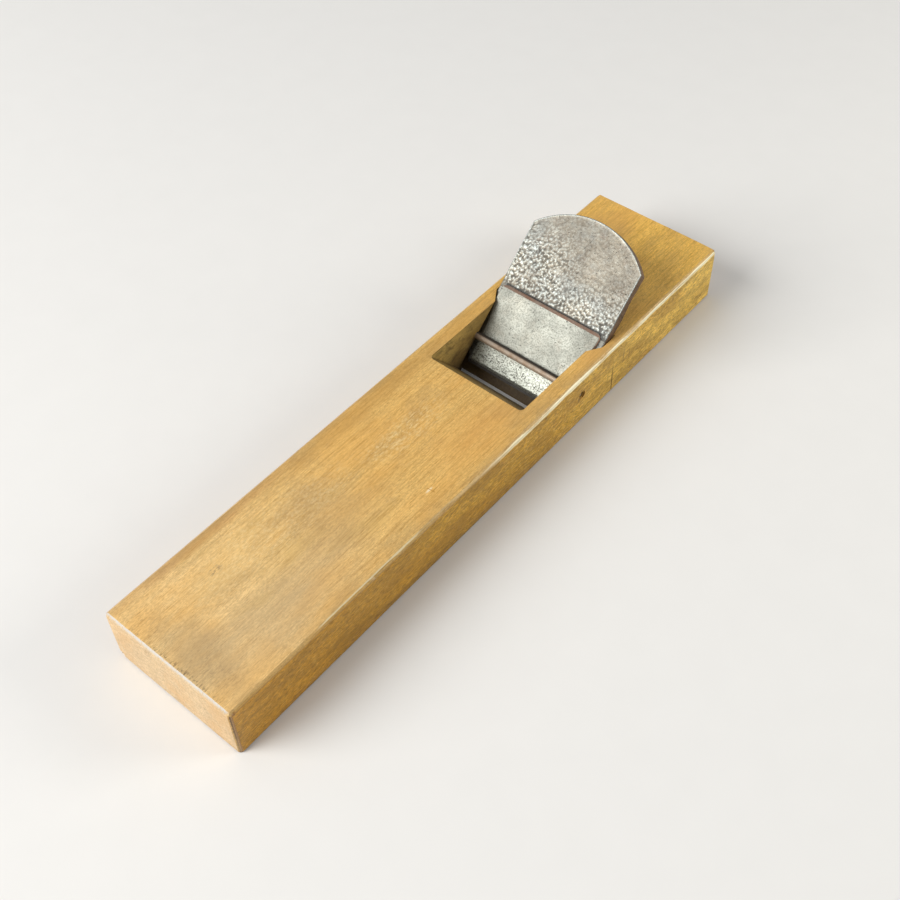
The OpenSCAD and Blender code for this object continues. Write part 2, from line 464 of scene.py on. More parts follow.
def soften(piece: bpy.types.Object, width: float, test: Callable[[Vector, Vector], bool],
           segments: int = 3) -> None:
    """Rounds the sharp edges that pass a test.

    Args:
        piece: The piece whose edges are rounded.
        width: How far the rounding reaches on each side.
        test: Says of an edge, by its two ends, whether it is rounded.
        segments: How many strips a rounding has.
    """
    take(piece)
    mesh = piece.data
    faces_of_edge: dict[tuple[int, int], list[int]] = {}
    for polygon in mesh.polygons:
        for key in polygon.edge_keys:
            faces_of_edge.setdefault(key, []).append(polygon.index)
    for vertex in mesh.vertices:
        vertex.select = False
    for polygon in mesh.polygons:
        polygon.select = False
    for edge in mesh.edges:
        sides = faces_of_edge.get(edge.key, [])
        ends = [mesh.vertices[i].co for i in edge.vertices]
        sharp = len(sides) == 2 and mesh.polygons[sides[0]].normal.angle(
            mesh.polygons[sides[1]].normal, 0.0) > math.radians(SHARP)
        edge.select = sharp and test(ends[0], ends[1])
    bpy.ops.object.mode_set(mode="EDIT")
    bpy.ops.mesh.select_mode(type="EDGE")
    bpy.ops.mesh.bevel(offset=width, segments=segments, affect="EDGES", clamp_overlap=True)
    leave_edit()


def add_sheet(name: str, across: np.ndarray, along: np.ndarray) -> bpy.types.Object:
    """Adds a closed slab whose columns and rows stand at given shares.

    Args:
        name: The name of the slab.
        across: Places of the columns, from -1 to 1.
        along: Places of the rows, from 0 to 1.

    Returns:
        The slab, with its back on Z = 0 and its front on Z = 1.
    """
    deselect_all()
    bpy.ops.mesh.primitive_grid_add(x_subdivisions=len(across) - 1,
                                    y_subdivisions=len(along) - 1, size=1)
    slab = name_primitive(name)
    points = points_of(slab)
    column = np.rint((points[:, 0] + 0.5) * (len(across) - 1)).astype(int)
    row = np.rint((points[:, 1] + 0.5) * (len(along) - 1)).astype(int)
    points[:, 0] = across[column]
    points[:, 1] = along[row]
    put_points(slab, points)
    all_selected(slab)
    bpy.ops.mesh.extrude_region_move(TRANSFORM_OT_translate={"value": (0, 0, 1)})
    bpy.ops.mesh.select_all(action="SELECT")
    bpy.ops.mesh.normals_make_consistent(inside=False)
    leave_edit()
    return slab


def lay_down(piece: bpy.types.Object, place: Matrix) -> None:
    """Brings a piece from its own frame, in millimetres, to its place in metres."""
    piece.data.transform(Matrix.Scale(METRES, 4) @ place)
    piece.data.update()


def smooth(piece: bpy.types.Object, angle: float) -> None:
    """Shades a piece smoothly, apart from edges sharper than an angle in degrees."""
    take(piece)
    bpy.ops.object.shade_smooth_by_angle(angle=math.radians(angle))


def ripple(points: np.ndarray, size: Point, seed: float) -> np.ndarray:
    """Gives smooth noise from -1 to 1 at each point.

    Args:
        points: Rows of x, y, z.
        size: The size of the noise's lumps along each axis.
        seed: Moves the noise, so that two uses differ.

    Returns:
        One value for each point.
    """
    shifted = points / np.array(size) + seed
    return np.array([noise.noise(Vector(p)) for p in shifted])


def between(value: np.ndarray, low: float, high: float) -> np.ndarray:
    """Rises smoothly from 0 at low to 1 at high."""
    share = np.clip((value - low) / (high - low), 0, 1)
    return share * share * (3 - 2 * share)


def keep_mark(piece: bpy.types.Object, name: str, values: np.ndarray) -> None:
    """Keeps one number for each corner of a mesh, for its finish to read."""
    mark = piece.data.attributes.new(name, "FLOAT", "POINT")
    mark.data.foreach_set("value", values.astype(np.float32))


# Wiring materials


class Graph:
    """Wires the nodes of one material."""

    def __init__(self, name: str) -> None:
        """Starts a material with only its shader and its output.

        Args:
            name: The name of the material.
        """
        self.material = bpy.data.materials.new(name)
        self.material.use_nodes = True
        self.tree = self.material.node_tree
        self.shader = self.tree.nodes["Principled BSDF"]
        self.coordinates = self.wired("ShaderNodeTexCoord", "Object", {})

    def wired(self, kind: str, output: str | int, inputs: dict[str | int, Socket],
              **settings: object) -> bpy.types.NodeSocket:
        """Adds a node and feeds it.

        Args:
            kind: The type of the node.
            output: Which of its outputs is wanted.
            inputs: What each of its inputs is fed with.
            settings: Its plain properties.

        Returns:
            The output.
        """
        made = self.tree.nodes.new(kind)
        for key, value in settings.items():
            setattr(made, key, value)
        for key, value in inputs.items():
            self.feed(made.inputs[key], value)
        return made.outputs[output]

    def feed(self, target: bpy.types.NodeSocket, value: Socket) -> None:
        """Links a socket to another one, or sets its number or colour.

        Args:
            target: The socket to feed.
            value: What it is fed with.
        """
        if isinstance(value, bpy.types.NodeSocket):
            self.tree.links.new(value, target)
        elif target.type == "RGBA":
            target.default_value = (*value, 1.0)
        else:
            target.default_value = value

    def stretched(self, scale: Point, shift: Point = (0, 0, 0)) -> bpy.types.NodeSocket:
        """Gives the object's coordinates in millimetres, scaled and moved along each axis."""
        return self.wired("ShaderNodeMapping", "Vector", {
            "Vector": self.coordinates, "Location": shift,
            "Scale": tuple(share / METRES for share in scale)})

    def along(self, axis: str) -> bpy.types.NodeSocket:
        """Gives one of the object's coordinates, X, Y or Z, in millimetres."""
        return self.wired("ShaderNodeSeparateXYZ", axis, {0: self.stretched((1, 1, 1))})

    def noise(self, scale: Point, shift: Point, detail: float = 2.0,
              rough: float = 0.5) -> bpy.types.NodeSocket:
        """Gives soft noise from 0 to 1, stretched along the axes.

        Args:
            scale: How many lumps there are to a millimetre, along each axis.
            shift: Moves the noise.
            detail: How many finer layers it has.
            rough: How strong they are.

        Returns:
            The noise.
        """
        return self.wired("ShaderNodeTexNoise", "Fac", {
            "Vector": self.stretched(scale, shift), "Scale": 1.0, "Detail": detail,
            "Roughness": rough})

    def span(self, value: Socket, low: float, high: float, to_low: float = 0.0,
             to_high: float = 1.0) -> bpy.types.NodeSocket:
        """Maps a range of values smoothly onto another one, and stays within it.

        Args:
            value: The value.
            low: Where its range starts.
            high: Where its range ends.
            to_low: What the start is mapped to.
            to_high: What the end is mapped to.

        Returns:
            The mapped value.
        """
        return self.wired("ShaderNodeMapRange", "Result", {
            "Value": value, "From Min": low, "From Max": high, "To Min": to_low,
            "To Max": to_high}, interpolation_type="SMOOTHSTEP")

    def rise(self, axis: str, low: float, high: float, to_low: float = 0.0,
             to_high: float = 1.0) -> bpy.types.NodeSocket:
        """Maps a stretch of one coordinate smoothly onto a range, as span does."""
        return self.span(self.along(axis), low, high, to_low, to_high)

    def sum(self, kind: str, first: Socket, second: Socket = 0.0) -> bpy.types.NodeSocket:
        """Does one sum, such as DIVIDE or MAXIMUM."""
        return self.wired("ShaderNodeMath", 0, {0: first, 1: second}, operation=kind)

    def plus(self, *terms: Socket) -> bpy.types.NodeSocket:
        """Adds values, from the first one on."""
        return reduce(lambda total, term: self.sum("ADD", total, term), terms)

    def minus(self, first: Socket, second: Socket) -> bpy.types.NodeSocket:
        """Takes the second value from the first."""
        return self.sum("SUBTRACT", first, second)

    def times(self, *factors: Socket) -> bpy.types.NodeSocket:
        """Multiplies values, from the first one on."""
        return reduce(lambda total, factor: self.sum("MULTIPLY", total, factor), factors)

    def size(self, value: Socket) -> bpy.types.NodeSocket:
        """Drops the sign of a value."""
        return self.sum("ABSOLUTE", value)

    def squares(self, first: Socket, second: Socket) -> bpy.types.NodeSocket:
        """Adds the squares of two values."""
        return self.plus(self.times(first, first), self.times(second, second))

    def blend(self, share: Socket, first: Socket, second: Socket,
              kind: str = "MIX") -> bpy.types.NodeSocket:
        """Mixes two colours.

        Args:
            share: How much of the second colour there is.
            first: The first colour.
            second: The second colour.
            kind: How they mix, such as MIX or MULTIPLY.

        Returns:
            The mixed colour.
        """
        return self.wired("ShaderNodeMix", 2, {"Factor": share, 6: first, 7: second},
                          data_type="RGBA", blend_type=kind)

    def layered(self, colour: Socket, *layers: tuple[Socket, Colour]) -> Socket:
        """Lays other colours over a colour, one after another.

        Args:
            colour: The colour under them all.
            layers: For each layer, how much of it there is and its colour.

        Returns:
            The colour with the layers on it.
        """
        for share, over in layers:
            colour = self.blend(share, colour, over)
        return colour

    def grey(self, value: Socket) -> bpy.types.NodeSocket:
        """Turns a number into a grey, to shade a colour with."""
        return self.wired("ShaderNodeCombineColor", "Color",
                          {"Red": value, "Green": value, "Blue": value})

    def mark(self, name: str) -> bpy.types.NodeSocket:
        """Gives a number that the mesh keeps for each corner."""
        return self.wired("ShaderNodeAttribute", "Fac", {}, attribute_name=name)

    def relief(self, height: Socket, depth: float, strength: float) -> bpy.types.NodeSocket:
        """Turns a height from 0 to 1 into a bumpy surface.

        Args:
            height: The height.
            depth: How deep the relief is, in millimetres.
            strength: How much of it shows.

        Returns:
            The surface's direction, for the shader.
        """
        return self.wired("ShaderNodeBump", "Normal", {
            "Strength": strength, "Distance": depth * METRES, "Height": height})

    def finish(self, **inputs: Socket) -> bpy.types.Material:
        """Feeds the shader and returns the material.

        Args:
            inputs: The shader's inputs, with an underscore for each space.

        Returns:
            The finished material.
        """
        for key, value in inputs.items():
            self.feed(self.shader.inputs[key.replace("_", " ")], value)
        return self.material


# Finishes of the oak


class Cutface(Enum):
    """Which way a face of the oak is cut, as an index of its finish."""

    TOP = 0
    SIDE = 1
    END = 2
    THROAT = 3
    EDGE = 4


@dataclass(frozen=True)
class OakFinish:
    """Old evergreen oak: rings, rays and pores that run through the solid."""

    name: str
    tail: Colour
    middle: Colour
    head: Colour
    dirt: Colour
    dirt_share: float = 0.35
    pore_share: float = 0.40
    ray_share: float = 0.45
    ray_scale: Point = (3.0, 0.10, 0.16)
    fleck_share: float = 0.25
    dash_share: float = 0.24
    dash_scale: Point = (1.15, 0.05, 1.15)
    grit: float = 0.20
    blotch: float = 0.05
    tone: float = 0.71
    polish: float = 0.42
    # Pale colour of the rubbed upper edges, which is also a painted sheen
    cream_sheen: Colour = srgb(255, 246, 205)
    ring_spacing: float = 3.4
    ring_bend: float = 22.0
    heart: tuple[float, float] = (46.0, -92.0)

    def rings(self, graph: Graph) -> bpy.types.NodeSocket:
        """Wires the yearly rings, round a heart below the body.

        Args:
            graph: The material that is wired.

        Returns:
            A wave from 0 to 1 that rises and falls once a ring.
        """
        bend = graph.noise((0.02, 0.0035, 0.02), (3.1, 1.7, 0.4), 2.0)
        squares = graph.squares(graph.minus(graph.along("X"), self.heart[0]),
                                graph.minus(graph.along("Z"), self.heart[1]))
        radius = graph.plus(graph.sum("SQRT", squares), graph.times(bend, self.ring_bend))
        turn = graph.times(radius, 2 * math.pi / self.ring_spacing)
        return graph.span(graph.sum("SINE", turn), -1.0, 1.0)

    def ground(self, graph: Graph) -> bpy.types.NodeSocket:
        """Wires the clear wood: its tone from tail to head and its soft streaks.

        Args:
            graph: The material that is wired.

        Returns:
            The colour of the wood without its figure.
        """
        fibres = graph.noise((2.1, 0.010, 2.1), (0, 0, 5.0), 3.0, 0.62)
        bands = graph.noise((0.16, 0.0022, 0.16), (7.0, 0, 2.0), 3.0, 0.55)
        grit = graph.noise((2.0, 0.75, 2.0), (3.0, 3.0, 7.0), 3.0, 0.7)
        blotch = graph.noise((0.75, 0.26, 0.75), (8.0, 1.0, 3.0), 3.0, 0.65)
        warmth = graph.noise((0.045, 0.016, 0.045), (2.0, 5.0, 1.0), 3.0, 0.6)
        shade = graph.plus(graph.times(fibres, 0.30), graph.times(bands, 0.34),
                           graph.times(self.rings(graph), -0.06),
                           graph.span(grit, 0.3, 0.7, -self.grit, self.grit),
                           graph.span(blotch, 0.3, 0.7, -self.blotch, self.blotch), self.tone)
        colour = graph.layered(self.tail, (graph.rise("Y", -170.0, -30.0), self.middle),
                               (graph.rise("Y", 10.0, 150.0), self.head))
        colour = graph.blend(1.0, colour, graph.grey(shade), "MULTIPLY")
        golden = tinted(self.middle, (1.06, 0.93, 0.74))
        olive = tinted(self.middle, (0.90, 0.93, 0.92))
        return graph.layered(colour, (graph.span(warmth, 0.42, 0.66, 0.0, 0.5), golden),
                             (graph.span(warmth, 0.46, 0.30, 0.0, 0.45), olive))

    def figured(self, graph: Graph, colour: Socket) -> tuple[Socket, Socket]:
        """Wires the figure: dark rays and pores, pale flecks and dirt.

        Args:
            graph: The material that is wired.
            colour: The clear wood.

        Returns:
            The colour with its figure, and how open the wood is, from 0 to 1.
        """
        rays = graph.span(graph.noise(self.ray_scale, (9.0, 2.0, 4.0), 2.0, 0.55), 0.56, 0.70)
        pores = graph.span(graph.noise((3.3, 0.30, 3.3), (1.0, 4.0, 0), 1.0), 0.60, 0.72)
        dashes = graph.span(graph.noise(self.dash_scale, (6.0, 3.0, 8.0), 2.0, 0.6), 0.48, 0.64)
        flecks = graph.span(graph.noise((2.4, 0.14, 0.5), (2.0, 8.0, 3.0), 2.0), 0.60, 0.74)
        patches = graph.span(graph.noise((0.035, 0.02, 0.035), (4.0, 1.0, 9.0), 5.0, 0.68),
                             0.46, 0.70)
        off_tail = graph.rise("Y", -182.0, -90.0, 0.25, 1.0)
        deep = tinted(self.head, (0.42, 0.34, 0.25))
        pale = tuple(min(1.0, part * 1.18 + 0.03) for part in self.tail)
        colour = graph.layered(
            colour,
            (graph.times(flecks, self.fleck_share), pale),
            (graph.times(pores, self.pore_share), deep),
            (graph.times(dashes, self.dash_share, off_tail), deep),
            (graph.times(rays, self.ray_share), deep),
            (graph.times(patches, self.dirt_share), self.dirt))
        return colour, graph.sum("MAXIMUM", pores, graph.times(rays, 0.5))

    def material(self) -> bpy.types.Material:
        """Wires the finish.

        Returns:
            Its material.
        """
        graph = Graph(self.name)
        colour, open_wood = self.figured(graph, self.ground(graph))
        colour = self.wear_and_painted_light(graph, colour)
        fibres = graph.noise((2.6, 0.02, 2.6), (4.0, 0, 1.0), 3.0, 0.6)
        height = graph.minus(graph.times(fibres, 0.6), open_wood)
        gloss = graph.plus(graph.span(fibres, 0.3, 0.7, self.polish, self.polish + 0.12),
                           graph.times(open_wood, 0.2))
        return graph.finish(Base_Color=colour, Roughness=gloss,
                            Normal=graph.relief(height, 0.05, 0.6), Specular_IOR_Level=0.4)

    def wear_and_painted_light(self, graph: Graph, colour: Socket) -> Socket:
        """Adds the wear that only some faces have: here dirt beside the long edges.

        Args:
            graph: The material that is wired.
            colour: The figured wood.

        Returns:
            The colour with its wear.
        """
        darkening = graph.noise((0.12, 0.03, 0.12), (6.0, 3.0, 2.0), 4.0, 0.65)
        close = graph.span(graph.size(graph.along("X")), 34.0, 38.6)
        share = graph.times(close, graph.span(darkening, 0.42, 0.62, 0.0, 0.45))
        return graph.blend(share, colour, self.dirt)

    def rubbed(self, graph: Graph) -> bpy.types.NodeSocket:
        """Says where a long upper edge is rubbed to a bright line, which is partly a painted
        sheen.

        Near the tail the line is thin and beside the top. From the throat to the head it is
        broad and reaches down the side.

        Args:
            graph: The material that is wired.

        Returns:
            How bright the rubbed line and its painted sheen are, from 0 to 1.
        """
        rub = graph.noise((0.5, 0.035, 0.5), (5.0, 7.0, 2.0), 4.0, 0.6)
        near_tail = graph.times(graph.rise("Y", -136.0, -126.0, 0.0, 0.5),
                                graph.rise("Y", -60.0, -72.0))
        bright = graph.sum("MAXIMUM", near_tail, graph.rise("Y", -30.0, 20.0, 0.08, 1.0))
        down = graph.minus(graph.size(graph.along("X")), graph.along("Z"))
        wander = graph.plus(down, graph.span(rub, 0.3, 0.7, -0.6, 0.6))
        middle = graph.rise("Y", -50.0, -10.0, 5.2, 7.4)
        broad = graph.rise("Y", -50.0, -10.0, 0.8, 1.3)
        off = graph.sum("DIVIDE", graph.size(graph.minus(wander, middle)), broad)
        return graph.times(bright, graph.span(rub, 0.34, 0.50, 0.25, 1.0),
                           graph.rise("X", -10.0, 10.0, 0.35, 1.0), graph.span(off, 1.2, 0.8))


@dataclass(frozen=True)
class Patch:
    """A soft patch of another colour on a face: its middle, its reach and its share."""

    middle: tuple[float, float]
    reach: tuple[float, float]
    colour: Colour
    share: float
    speckled: bool = False
    right_only: bool = False

    def shown(self, graph: Graph, axes: tuple[str, str], edge: Socket,
              speckle: Socket) -> bpy.types.NodeSocket:
        """Says where the patch shows.

        Args:
            graph: The material that is wired.
            axes: The two axes of the face that it lies on.
            edge: Noise that frays the edge of the patch.
            speckle: Noise that breaks it into specks, where it is speckled.

        Returns:
            How much of the patch's colour there is.
        """
        over, up = (graph.sum("DIVIDE", graph.minus(graph.along(axis), middle), reach)
                    for axis, middle, reach in zip(axes, self.middle, self.reach))
        away = graph.plus(graph.squares(over, up), graph.times(edge, 1.6))
        share = graph.span(away, 2.3, 0.4, 0.0, self.share)
        if self.speckled:
            share = graph.times(share, speckle)
        if self.right_only:
            share = graph.times(share, graph.rise("X", -1.0, 1.0))
        return share


@dataclass(frozen=True)
class PatchedFinish(OakFinish):
    """Oak with stains and rubbed places of long use, and patches of painted light and shade."""

    patches: tuple[Patch, ...] = ()
    axes: tuple[str, str] = ("X", "Y")
    speck_scale: Point = (1.2, 0.5, 1.2)

    def wear_and_painted_light(self, graph: Graph, colour: Socket) -> Socket:
        """Adds the patches, and the dirt beside the long edges.

        Args:
            graph: The material that is wired.
            colour: The figured wood.

        Returns:
            The colour with its wear.
        """
        edge = graph.noise((0.07, 0.04, 0.07), (2.0, 9.0, 5.0), 4.0, 0.6)
        speckle = graph.span(graph.noise(self.speck_scale, (5.0, 5.0, 2.0), 3.0, 0.6), 0.46, 0.66)
        colour = graph.layered(colour, *(
            (patch.shown(graph, self.axes, edge, speckle), patch.colour)
            for patch in self.patches))
        return super().wear_and_painted_light(graph, colour)


@dataclass(frozen=True)
class SideFinish(PatchedFinish):
    """A side of the body, scuffed under its upper edge, and lighter towards the head as painted
    light.
    """

    patches: tuple[Patch, ...] = (
        Patch((128.0, 28.5), (60.0, 3.2), srgb(96, 64, 22), 0.75, True),
        Patch((20.0, 29.0), (60.0, 2.6), srgb(104, 70, 24), 0.45, True),
        # These two pale patches towards the head are painted light, where the side is lit more
        # towards the head.
        Patch((76.0, 12.0), (22.0, 12.0), srgb(246, 206, 104), 0.35, True),
        Patch((156.0, 14.0), (24.0, 14.0), srgb(250, 214, 112), 0.40, True),
        Patch((-96.0, 20.0), (40.0, 10.0), srgb(220, 174, 84), 0.30, True),
        Patch((-60.0, 3.0), (90.0, 3.0), srgb(110, 78, 30), 0.35, True),
        # Painted shadow in the mouth of the pin's hole.
        Patch((58.4, 18.8), (1.3, 2.4), srgb(24, 16, 8), 0.90),
        # Painted shade along the crack, widening its dark line.
        Patch((88.6, 11.0), (0.8, 11.0), srgb(70, 48, 20), 0.75, right_only=True),
        Patch((98.0, 20.0), (0.9, 5.5), srgb(70, 48, 20), 0.65, right_only=True),
        Patch((103.5, 17.0), (0.7, 4.5), srgb(70, 48, 20), 0.55, right_only=True),
        Patch((84.0, 13.0), (0.6, 6.0), srgb(70, 48, 20), 0.35, right_only=True),
    )
    axes: tuple[str, str] = ("Y", "Z")
    speck_scale: Point = (0.8, 0.45, 1.1)
    scratch: Colour = srgb(108, 74, 24)
    bare: Colour = srgb(246, 208, 118)

    def wear_and_painted_light(self, graph: Graph, colour: Socket) -> Socket:
        """Adds crisp dark and pale scratches, the patches, and the rubbed upper edge with its
        painted sheen.

        Args:
            graph: The material that is wired.
            colour: The figured wood.

        Returns:
            The colour with its wear.
        """
        dark = graph.noise((0.85, 0.22, 0.85), (1.0, 6.0, 9.0), 2.0, 0.6)
        pale = graph.noise((0.95, 0.25, 0.95), (7.0, 2.0, 4.0), 2.0, 0.6)
        to_head = graph.rise("Y", -60.0, 60.0, 0.30, 1.0)
        colour = graph.layered(
            colour,
            (graph.span(dark, 0.54, 0.62, 0.0, 0.45), self.scratch),
            (graph.times(graph.span(pale, 0.54, 0.63, 0.0, 0.45), to_head), self.bare))
        # The rubbed upper edge is partly wear and partly a painted sheen.
        return graph.blend(self.rubbed(graph), super().wear_and_painted_light(graph, colour), self.cream_sheen)


@dataclass(frozen=True)
class TopFinish(PatchedFinish):
    """The top of the body, dirty at the tail, with pale and dark patches."""

    patches: tuple[Patch, ...] = (
        Patch((18.0, -140.0), (20.0, 56.0), srgb(176, 154, 120), 0.50),
        Patch((10.0, -174.0), (30.0, 14.0), srgb(150, 130, 100), 0.45),
        Patch((0.0, -84.0), (22.0, 22.0), srgb(166, 134, 92), 0.36),
        Patch((-37.0, -130.0), (4.0, 60.0), srgb(176, 124, 66), 0.50),
        Patch((-16.0, -130.0), (12.0, 30.0), srgb(232, 192, 122), 0.35),
        Patch((20.0, 0.0), (14.0, 32.0), srgb(214, 156, 78), 0.34),
        Patch((35.0, 84.0), (5.0, 26.0), srgb(186, 142, 88), 0.45),
        Patch((-33.0, 0.0), (6.0, 80.0), srgb(172, 130, 66), 0.50),
        Patch((-24.0, 150.0), (20.0, 40.0), srgb(196, 150, 84), 0.50),
        Patch((-6.0, -20.0), (10.0, 28.0), srgb(244, 222, 168), 0.55, True),
        Patch((-14.0, -110.0), (16.0, 60.0), srgb(238, 214, 164), 0.35, True),
        Patch((-18.5, -139.0), (2.6, 4.0), srgb(92, 62, 38), 0.70, True),
        Patch((-22.0, -178.0), (14.0, 10.0), srgb(128, 98, 64), 0.30, True),
        Patch((22.0, -176.0), (16.0, 8.0), srgb(116, 92, 66), 0.30, True),
        Patch((8.0, -183.7), (32.0, 1.6), srgb(66, 50, 34), 0.75, True),
        Patch((26.5, -43.8), (0.7, 2.6), srgb(250, 236, 200), 0.80),
    )


@dataclass(frozen=True)
class ThroatFinish(OakFinish):
    """Oak inside the throat: tan at the top, darkened below with painted shade, and smeared with
    oil.
    """

    shade_and_oil: Colour = srgb(72, 53, 30)

    def wear_and_painted_light(self, graph: Graph, colour: Socket) -> Socket:
        """Darkens the wood from the top of the throat down and on its front wall as painted
        shade, and adds smears of oil.

        Args:
            graph: The material that is wired.
            colour: The figured wood.

        Returns:
            The colour with its wear.
        """
        shade_fray = graph.noise((0.10, 0.06, 0.10), (1.0, 2.0, 6.0), 4.0, 0.6)
        depth = graph.plus(graph.along("Z"), graph.times(shade_fray, 12.0))
        smear = graph.noise((0.22, 0.16, 0.22), (4.0, 4.0, 1.0), 4.0, 0.65)
        lean = 1 / slope(PLANE.front_wall_angle)
        wall = PLANE.mouth_front + PLANE.front_wall_break * lean
        ahead = graph.plus(graph.along("Y"), graph.times(graph.along("Z"), lean))
        # Painted shade darkens the throat downwards and on its front wall; the smears are oil
        # stains.
        return graph.layered(colour, (graph.span(depth, 36.0, 12.0, 0.0, 0.85), self.shade_and_oil),
                             (graph.span(smear, 0.46, 0.68, 0.0, 0.5), self.shade_and_oil),
                             (graph.span(ahead, wall + 1.2, wall + 0.4, 0.0, 0.45), self.shade_and_oil))


@dataclass(frozen=True)
class EdgeFinish(OakFinish):
    """Oak on the chamfers: rubbed pale with a painted sheen, pale with wax and a painted
    reflection at the tail, dark with painted shade at the head, and dark at the sole.
    """

    wax_and_reflection: Colour = srgb(190, 186, 179)
    brown: Colour = srgb(92, 60, 34)
    umber: Colour = srgb(134, 84, 42)
    sole: Colour = srgb(110, 80, 42)

    def wear_and_painted_light(self, graph: Graph, colour: Socket) -> Socket:
        """Rubs the chamfers pale where hands and clamps have been, with a painted sheen, and adds
        a painted reflection at the tail and painted shade at the head.

        Args:
            graph: The material that is wired.
            colour: The figured wood.

        Returns:
            The colour with its wear.
        """
        fine = graph.noise((1.2, 0.4, 1.2), (3.0, 2.0, 8.0), 3.0, 0.6)
        high = graph.rise("Z", 31.8, 32.6)
        # The pale tail chamfer is wax together with a painted reflection.
        tail = graph.times(high, graph.rise("Y", -184.0, -184.7),
                           graph.rise("X", 38.6, 36.5, 0.15, 1.0),
                           graph.rise("Z", 32.7, 33.2, 0.45, 1.0),
                           graph.span(fine, 0.34, 0.48, 0.35, 0.96))
        # The dark head chamfer is painted shade.
        head = graph.times(high, graph.rise("Y", 184.0, 184.7), 0.75)
        corner, beside = self.upright(graph, fine)
        return graph.layered(colour, (self.rubbed(graph), self.cream_sheen), (tail, self.wax_and_reflection),
                             (corner, self.brown), (beside, self.umber), (head, self.umber),
                             (graph.rise("Z", 1.4, 0.7, 0.0, 0.8), self.sole))

    @staticmethod
    def upright(graph: Graph, fine: Socket) -> tuple[Socket, Socket]:
        """Says where the upright corners are dark, and where the side meets them.

        Args:
            graph: The material that is wired.
            fine: Noise that makes the borders wander.

        Returns:
            How dark the corner is, and how dark the strip beside it.
        """
        low = graph.rise("Z", 32.8, 31.6)
        corner = graph.minus(graph.size(graph.along("X")), graph.size(graph.along("Y")))
        wander = graph.plus(corner, graph.span(fine, 0.3, 0.7, -0.25, 0.25))
        dark = graph.times(graph.span(wander, -146.9, -146.4, 0.0, 0.9),
                           graph.span(wander, -145.3, -145.9, 0.3, 1.0),
                           graph.rise("Z", 2.0, 30.0, 0.6, 1.0), low)
        return dark, graph.times(low, graph.span(wander, -145.6, -144.9, 0.0, 0.7))


OAK_FINISHES = {
    Cutface.TOP: TopFinish("oak_top", srgb(226, 191, 132), srgb(216, 175, 103),
                           srgb(238, 190, 92), srgb(158, 130, 88), dash_share=0.30),
    # The side's head tone is lighter than its middle, partly as painted light towards the head.
    Cutface.SIDE: SideFinish("oak_side", srgb(190, 138, 42), srgb(196, 149, 46),
                             srgb(248, 208, 98), srgb(134, 98, 34), fleck_share=0.40,
                             pore_share=0.40, ray_share=0.55, ray_scale=(1.2, 0.36, 1.4),
                             dash_scale=(1.4, 0.13, 1.4), dash_share=0.45, grit=0.30,
                             blotch=0.28),
    Cutface.END: OakFinish("oak_end", srgb(204, 178, 140), srgb(198, 166, 122),
                           srgb(206, 158, 92), srgb(214, 176, 126), dirt_share=0.25,
                           pore_share=0.30, ray_share=0.22, polish=0.55, blotch=0.12),
    Cutface.THROAT: ThroatFinish("oak_throat", srgb(194, 164, 96), srgb(192, 162, 92),
                                 srgb(170, 138, 74), srgb(92, 72, 40), polish=0.5),
    Cutface.EDGE: EdgeFinish("oak_edge", srgb(204, 166, 102), srgb(194, 154, 76),
                             srgb(200, 158, 74), srgb(140, 112, 60), polish=0.30,
                             ray_share=0.2),
}


# Finishes of the metals


